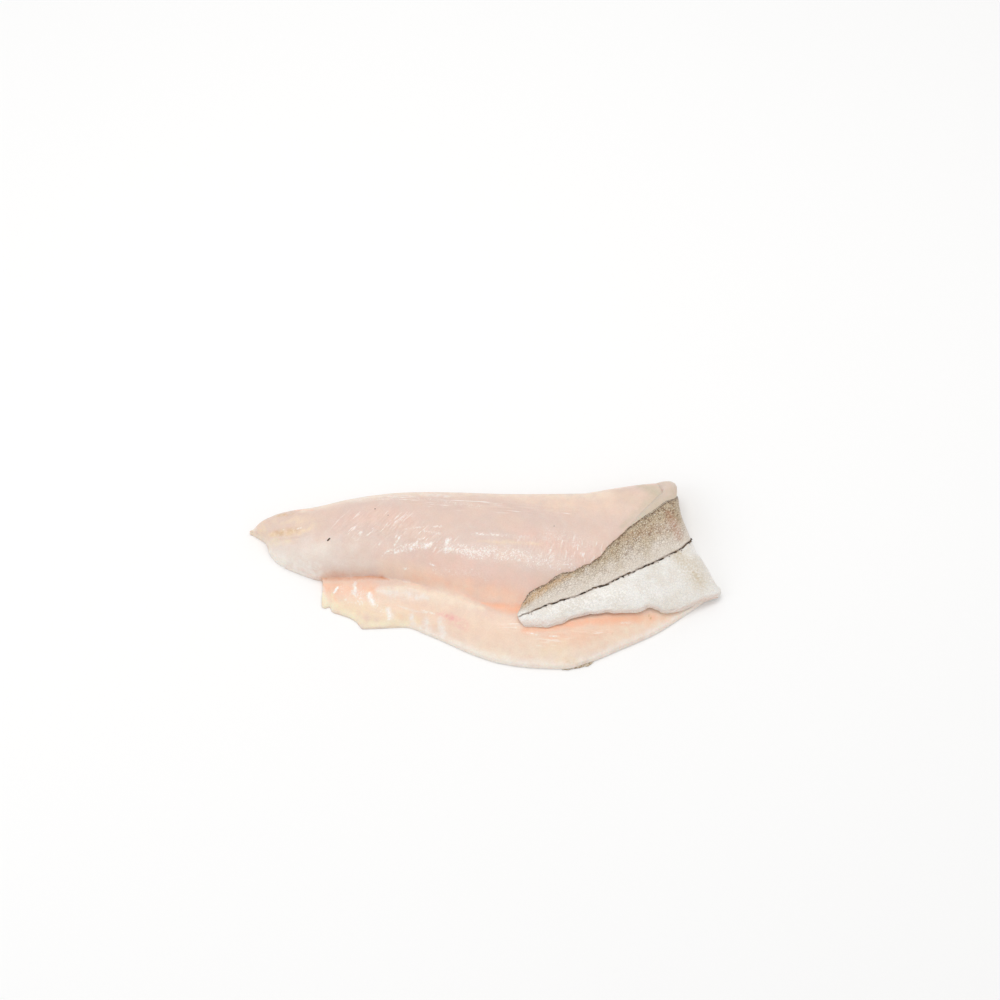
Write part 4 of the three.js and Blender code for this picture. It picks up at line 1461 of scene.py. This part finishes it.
def build_lateral_line(look):
    """The lateral line: long dashes with thin bridges between them, and small spots beside it."""
    strip = skin_strip()
    rows = range(len(strip.skin))

    def at_line(grid):
        return np.array([
            [np.interp(strip.line[r], strip.share[r], grid[r, :, k]) for k in range(3)]
            for r in rows
        ])

    path, out = at_line(strip.skin), unit(at_line(strip.out))
    steps = np.linalg.norm(np.diff(path, axis=0), axis=1)
    run = np.concatenate([[0], np.cumsum(steps)])
    rng = np.random.default_rng(31)
    tail_run = run[len(rows) - TAIL_ROWS]

    def on_path(grid, at):
        return np.array([np.interp(at, run, grid[:, k]) for k in range(3)])

    def dash(begins, length, half_width, swing):
        """A lens that lies along the line."""
        middle = begins + length / 2
        normal = unit(on_path(out, middle))
        forward = on_path(path, begins + length) - on_path(path, begins)
        forward = unit(forward - normal * (forward @ normal))
        side = np.cross(normal, forward)
        aside = side * rng.uniform(-swing, swing)
        spot = on_path(path, middle) + aside - normal * LINE_SINKS
        forward = unit(forward + side * rng.uniform(-swing, swing))
        return bead(spot, forward, normal, (length / 2 * 1.15, half_width, DASH_HEIGHT))

    parts, place = [], LINE_BEGINS
    while place < run[-1] - 1:
        broad = line_width((place - tail_run) / (run[-1] - tail_run))
        broad = broad * rng.uniform(*DASH_BREADTHS)
        length = mix(*DASH_LENGTHS, rng.uniform() ** 1.5)
        parts.append(dash(place, length, broad, swing=0.24))
        bridge = place + 0.7 * length
        parts.append(dash(bridge, BRIDGE_LENGTH, broad * BRIDGE_BREADTH, swing=0.1))
        spot = place + rng.uniform(0, length)
        parts.append(dash(spot, SPOT_LENGTH, rng.uniform(*SPOT_BREADTHS), swing=1.1))
        place += length + rng.uniform(0.0, LONGEST_BREAK)
    points, faces = joined(parts)
    points[:, 2] = np.maximum(points[:, 2], LINE_LOWEST)
    add_piece("lateral_line", points, faces, line_material(look), "skin", {})


# The dark specks: x, y, length, width and direction in degrees.
SPECKS = [
    (39.9, 64.6, 2.3, 0.95, 42), (62.7, 80.4, 0.7, 0.6, 70), (69.3, 76.2, 0.5, 0.4, 0),
    (151.9, 71.3, 0.5, 0.5, 0),
]
SPECK_HEIGHT = 0.16


def build_specks(look):
    """The dark specks, each laid along the slope of the flesh."""
    parts = []
    step = 0.5
    for x, y, length, width, degrees in SPECKS:
        here = np.array([(x, y), (x + step, y), (x, y + step)])
        heights = body_top(here) + flesh_relief(here[:, 0], here[:, 1])
        normal = unit(np.array([*(heights[0] - heights[1:]) / step, 1]))
        angle = np.radians(degrees)
        forward = np.array([np.cos(angle), np.sin(angle), 0])
        forward = unit(forward - normal * (forward @ normal))
        spot = np.array([x, y, heights[0]])
        parts.append(bead(spot, forward, normal, (length / 2, width / 2, SPECK_HEIGHT)))
    add_piece("specks", *joined(parts), speck_material(look), "flesh", {})


def build_loose_skin(look):
    """Frayed skin that sticks out along the lowest part of the belly edge."""
    x = np.linspace(LOOSE_REACH[0][0], LOOSE_REACH[-1][0], 120)[:, None]
    across = np.linspace(0, 1, 14)[None, :]
    near = belly_edge(x) - loose_reach(x) * (1 + waves(x, 0 * x, FRAYS, 51))
    y = mix(belly_edge(x) + LOOSE_TUCKED, near, across)
    x = x + 0 * y
    z = mix(*LOOSE_HEIGHTS, ease(across * 1.2)) + LOOSE_LUMPS * wander(x, y, 0.9, 53)
    upper = np.stack([x, y, np.maximum(z, LOOSE_THICKNESS)], -1)
    lower = upper - (0, 0, LOOSE_THICKNESS)
    middle = (upper + lower) / 2
    outward = unit(middle[:, 0] - middle[:, -1]) * LOOSE_THICKNESS / 4
    points, faces = shell(
        lower, upper, middle[:, 0] + outward, middle[:, -1] - outward, steps=(1, 1, 2, 2),
        reaches=(LOOSE_THICKNESS / 2,) * 2,
    )
    add_piece("loose_skin", points, faces, loose_skin_material(look), "skin", {})


# ---- Settings ----
def colour_setting(name, description, code):
    return FloatVectorProperty(
        name=name, description=description, subtype="COLOR", size=3, min=0, max=1,
        default=paint(code),
    )


class FilletSizes(bpy.types.PropertyGroup):
    """Sizes of the thin layers."""

    skin_thickness: FloatProperty(
        name="Skin thickness", description="Thickness of the skin with its scales",
        default=0.0007, min=0.0003, max=0.002, unit="LENGTH", subtype="DISTANCE",
    )
    skin_bedding: FloatProperty(
        name="Skin bedding", description="How deep the skin sits in the flesh",
        default=0.0002, min=0.0, max=0.0005, unit="LENGTH", subtype="DISTANCE",
    )
    scale_size: FloatProperty(
        name="Scale size", description="Width of a scale pocket in the skin",
        default=0.0012, min=0.0005, max=0.004, unit="LENGTH", subtype="DISTANCE",
    )


class FilletLook(bpy.types.PropertyGroup):
    """Colours of the flesh and the skin."""

    flesh: colour_setting("Flesh", "The loin", "E2CBC0")
    flesh_rosy: colour_setting("Flesh, second", "The loin, where it is rosier", "E6CCBE")
    # Also painted light on the loin's lower side.
    paler: colour_setting("Pale flesh", "Near the head end", "F1E4DA")
    rosy: colour_setting("Rosy", "Pinker flesh", "EECBBD")
    # Also painted light on the loin's lower side.
    peach: colour_setting("Peach", "The back near the fold, and the belly wall", "F5DAC5")
    # Also painted shade in the hollows and under the folded tail.
    orange: colour_setting("Orange", "In the hollows", "FDBC97")
    cream: colour_setting("Cream", "The thin belly wall and the back edge", "F8E5D1")
    fat: colour_setting("Fat", "Yellowish fat", "F6E0C2")
    beige: colour_setting("Beige", "The cut face at the fold", "D0C2AD")
    # Also painted sheen on the belly flap and in the wet patches.
    milky: colour_setting("Milky", "Membrane and connective tissue", "F4EAE2")
    bruise: colour_setting("Bruise", "Small blood marks", "F0BAB2")
    # Painted shade in the crease, on its reddish line.
    crease: colour_setting("Crease", "Between the loin and the belly wall", "DA966F")
    # Painted light: thin edges painted paler, as though lit through.
    pale_rim: colour_setting("Pale rim", "The thin see-through edges of the flesh", "FAF1E7")
    lemon: colour_setting("Lemon", "The thin edge of the belly flap", "F6E8CC")
    stain: colour_setting("Stain", "Brownish stains at the belly edge", "D8B488")
    # Painted highlights: wet glints, grains and bright fibre dashes.
    painted_highlight: colour_setting("Wet light", "Bright wet grains", "FDF9F4")
    silver: colour_setting("Silver", "Skin below the lateral line", "F8F4EE")
    silver_warm: colour_setting("Warm silver", "Skin below the lateral line, second", "EEE7DD")
    silver_cool: colour_setting("Cool silver", "Bluish specks in the silver skin", "CFD3D6")
    back_light: colour_setting("Back", "Skin above the lateral line", "E3D8CB")
    # Also painted shade on the skin beside the fold.
    back_olive: colour_setting("Olive back", "Skin above the lateral line, second", "CDBCA0")
    net: colour_setting("Net", "Pigment between the scales", "6F4C2C")
    dark_rim: colour_setting("Dark rim", "Along the back", "5C4129")
    golden: colour_setting("Golden", "Patches of the back skin", "D6B48C")
    reddish: colour_setting("Reddish", "A patch near the fold", "A87658")
    line: colour_setting("Line", "Lateral line", "281B12")
    line_edge: colour_setting("Line edge", "Lateral line, second", "75593D")
    speck: colour_setting("Speck", "Dark specks in the flesh", "1E1A18")
    floor: colour_setting("Table top", "The surface under the fillet", "FCFCFC")


# ---- The stage ----
def add_light(name, place, size, power, tint):
    light = bpy.data.lights.new(name, "AREA")
    light.shape = "RECTANGLE"
    light.size, light.size_y = size
    light.energy = power
    light.color = tint
    lamp = bpy.data.objects.new(name, light)
    lamp.location = place
    middle = Vector((0, 0, 0))
    lamp.rotation_euler = (middle - Vector(place)).to_track_quat("-Z", "Y").to_euler()
    bpy.context.scene.collection.objects.link(lamp)


def build_stage(look):
    """The table top, the soft daylight, two lights and the camera."""
    scene = bpy.context.scene
    mesh = bpy.data.meshes.new("table_top")
    ways = ((-1, -1), (1, -1), (1, 1), (-1, 1))
    corners = [(TABLE_HALF * x, TABLE_HALF * y, TABLE_TOP) for x, y in ways]
    mesh.from_pydata(corners, [], [(0, 1, 2, 3)])
    mesh.materials.append(floor_material(look))
    table = bpy.data.objects.new("table_top", mesh)
    scene.collection.objects.link(table)

    world = bpy.data.worlds.new("soft studio")
    world.use_nodes = True
    background = world.node_tree.nodes["Background"]
    background.inputs["Color"].default_value = (1, 1, 1, 1)
    background.inputs["Strength"].default_value = DAYLIGHT
    scene.world = world
    for light in LIGHTS:
        add_light(*light)

    camera = bpy.data.cameras.new("camera")
    camera.lens, camera.sensor_width = LENS, SENSOR
    camera.clip_start, camera.clip_end = NEAREST, FARTHEST
    eye = bpy.data.objects.new("camera", camera)
    lo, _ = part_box(NODE)
    eye.location = Vector(EYE) + Vector((lo.x, lo.y, 0))
    eye.rotation_euler = (np.radians(90 - EYE_ELEVATION), 0, 0)
    scene.collection.objects.link(eye)
    scene.camera = eye
    scene.view_settings.view_transform = "Standard"


# ---- Operators, panel and the run itself ----
class FILLET_OT_flesh(bpy.types.Operator):
    """Add the flesh of the fillet"""

    bl_idname = "fillet.add_flesh"
    bl_label = "Add Flesh"

    def execute(self, context):
        build_flesh(context.scene.fillet_sizes, context.scene.fillet_look)
        return {"FINISHED"}


class FILLET_OT_skin(bpy.types.Operator):
    """Add the skin under the flesh and over the folded tail"""

    bl_idname = "fillet.add_skin"
    bl_label = "Add Skin"

    def execute(self, context):
        build_skin(context.scene.fillet_sizes, context.scene.fillet_look)
        return {"FINISHED"}


class FILLET_OT_lateral_line(bpy.types.Operator):
    """Add the dark dashes of the lateral line"""

    bl_idname = "fillet.add_lateral_line"
    bl_label = "Add Lateral Line"

    def execute(self, context):
        build_lateral_line(context.scene.fillet_look)
        return {"FINISHED"}


class FILLET_OT_specks(bpy.types.Operator):
    """Add the dark specks on the flesh"""

    bl_idname = "fillet.add_specks"
    bl_label = "Add Specks"

    def execute(self, context):
        build_specks(context.scene.fillet_look)
        return {"FINISHED"}


class FILLET_OT_loose_skin(bpy.types.Operator):
    """Add the frayed skin at the belly edge"""

    bl_idname = "fillet.add_loose_skin"
    bl_label = "Add Loose Skin"

    def execute(self, context):
        build_loose_skin(context.scene.fillet_look)
        return {"FINISHED"}


class FILLET_OT_stage(bpy.types.Operator):
    """Add the table top, the lights and the camera"""

    bl_idname = "fillet.add_stage"
    bl_label = "Add Stage"

    def execute(self, context):
        build_stage(context.scene.fillet_look)
        return {"FINISHED"}


class FILLET_PT_panel(bpy.types.Panel):
    """The fillet's pieces and settings"""

    bl_label = "Haddock Fillet"
    bl_idname = "FILLET_PT_panel"
    bl_space_type = "VIEW_3D"
    bl_region_type = "UI"
    bl_category = "Fillet"

    def draw(self, context):
        for name in STEPS:
            self.layout.operator(f"fillet.{name}")
        for settings in (context.scene.fillet_sizes, context.scene.fillet_look):
            for key in settings.__annotations__:
                self.layout.prop(settings, key)


STEPS = (
    "add_flesh", "add_skin", "add_lateral_line", "add_specks", "add_loose_skin", "add_stage",
)
CLASSES = (
    FilletSizes, FilletLook, FILLET_OT_flesh, FILLET_OT_skin, FILLET_OT_lateral_line,
    FILLET_OT_specks, FILLET_OT_loose_skin, FILLET_OT_stage, FILLET_PT_panel,
)


def register():
    for cls in CLASSES:
        bpy.utils.register_class(cls)
    bpy.types.Scene.fillet_sizes = PointerProperty(type=FilletSizes)
    bpy.types.Scene.fillet_look = PointerProperty(type=FilletLook)


def unregister():
    del bpy.types.Scene.fillet_look
    del bpy.types.Scene.fillet_sizes
    for cls in reversed(CLASSES):
        bpy.utils.unregister_class(cls)


def main():
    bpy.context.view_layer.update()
    register()
    for name in STEPS:
        getattr(bpy.ops.fillet, name)()


if __name__ == "__main__":
    main()
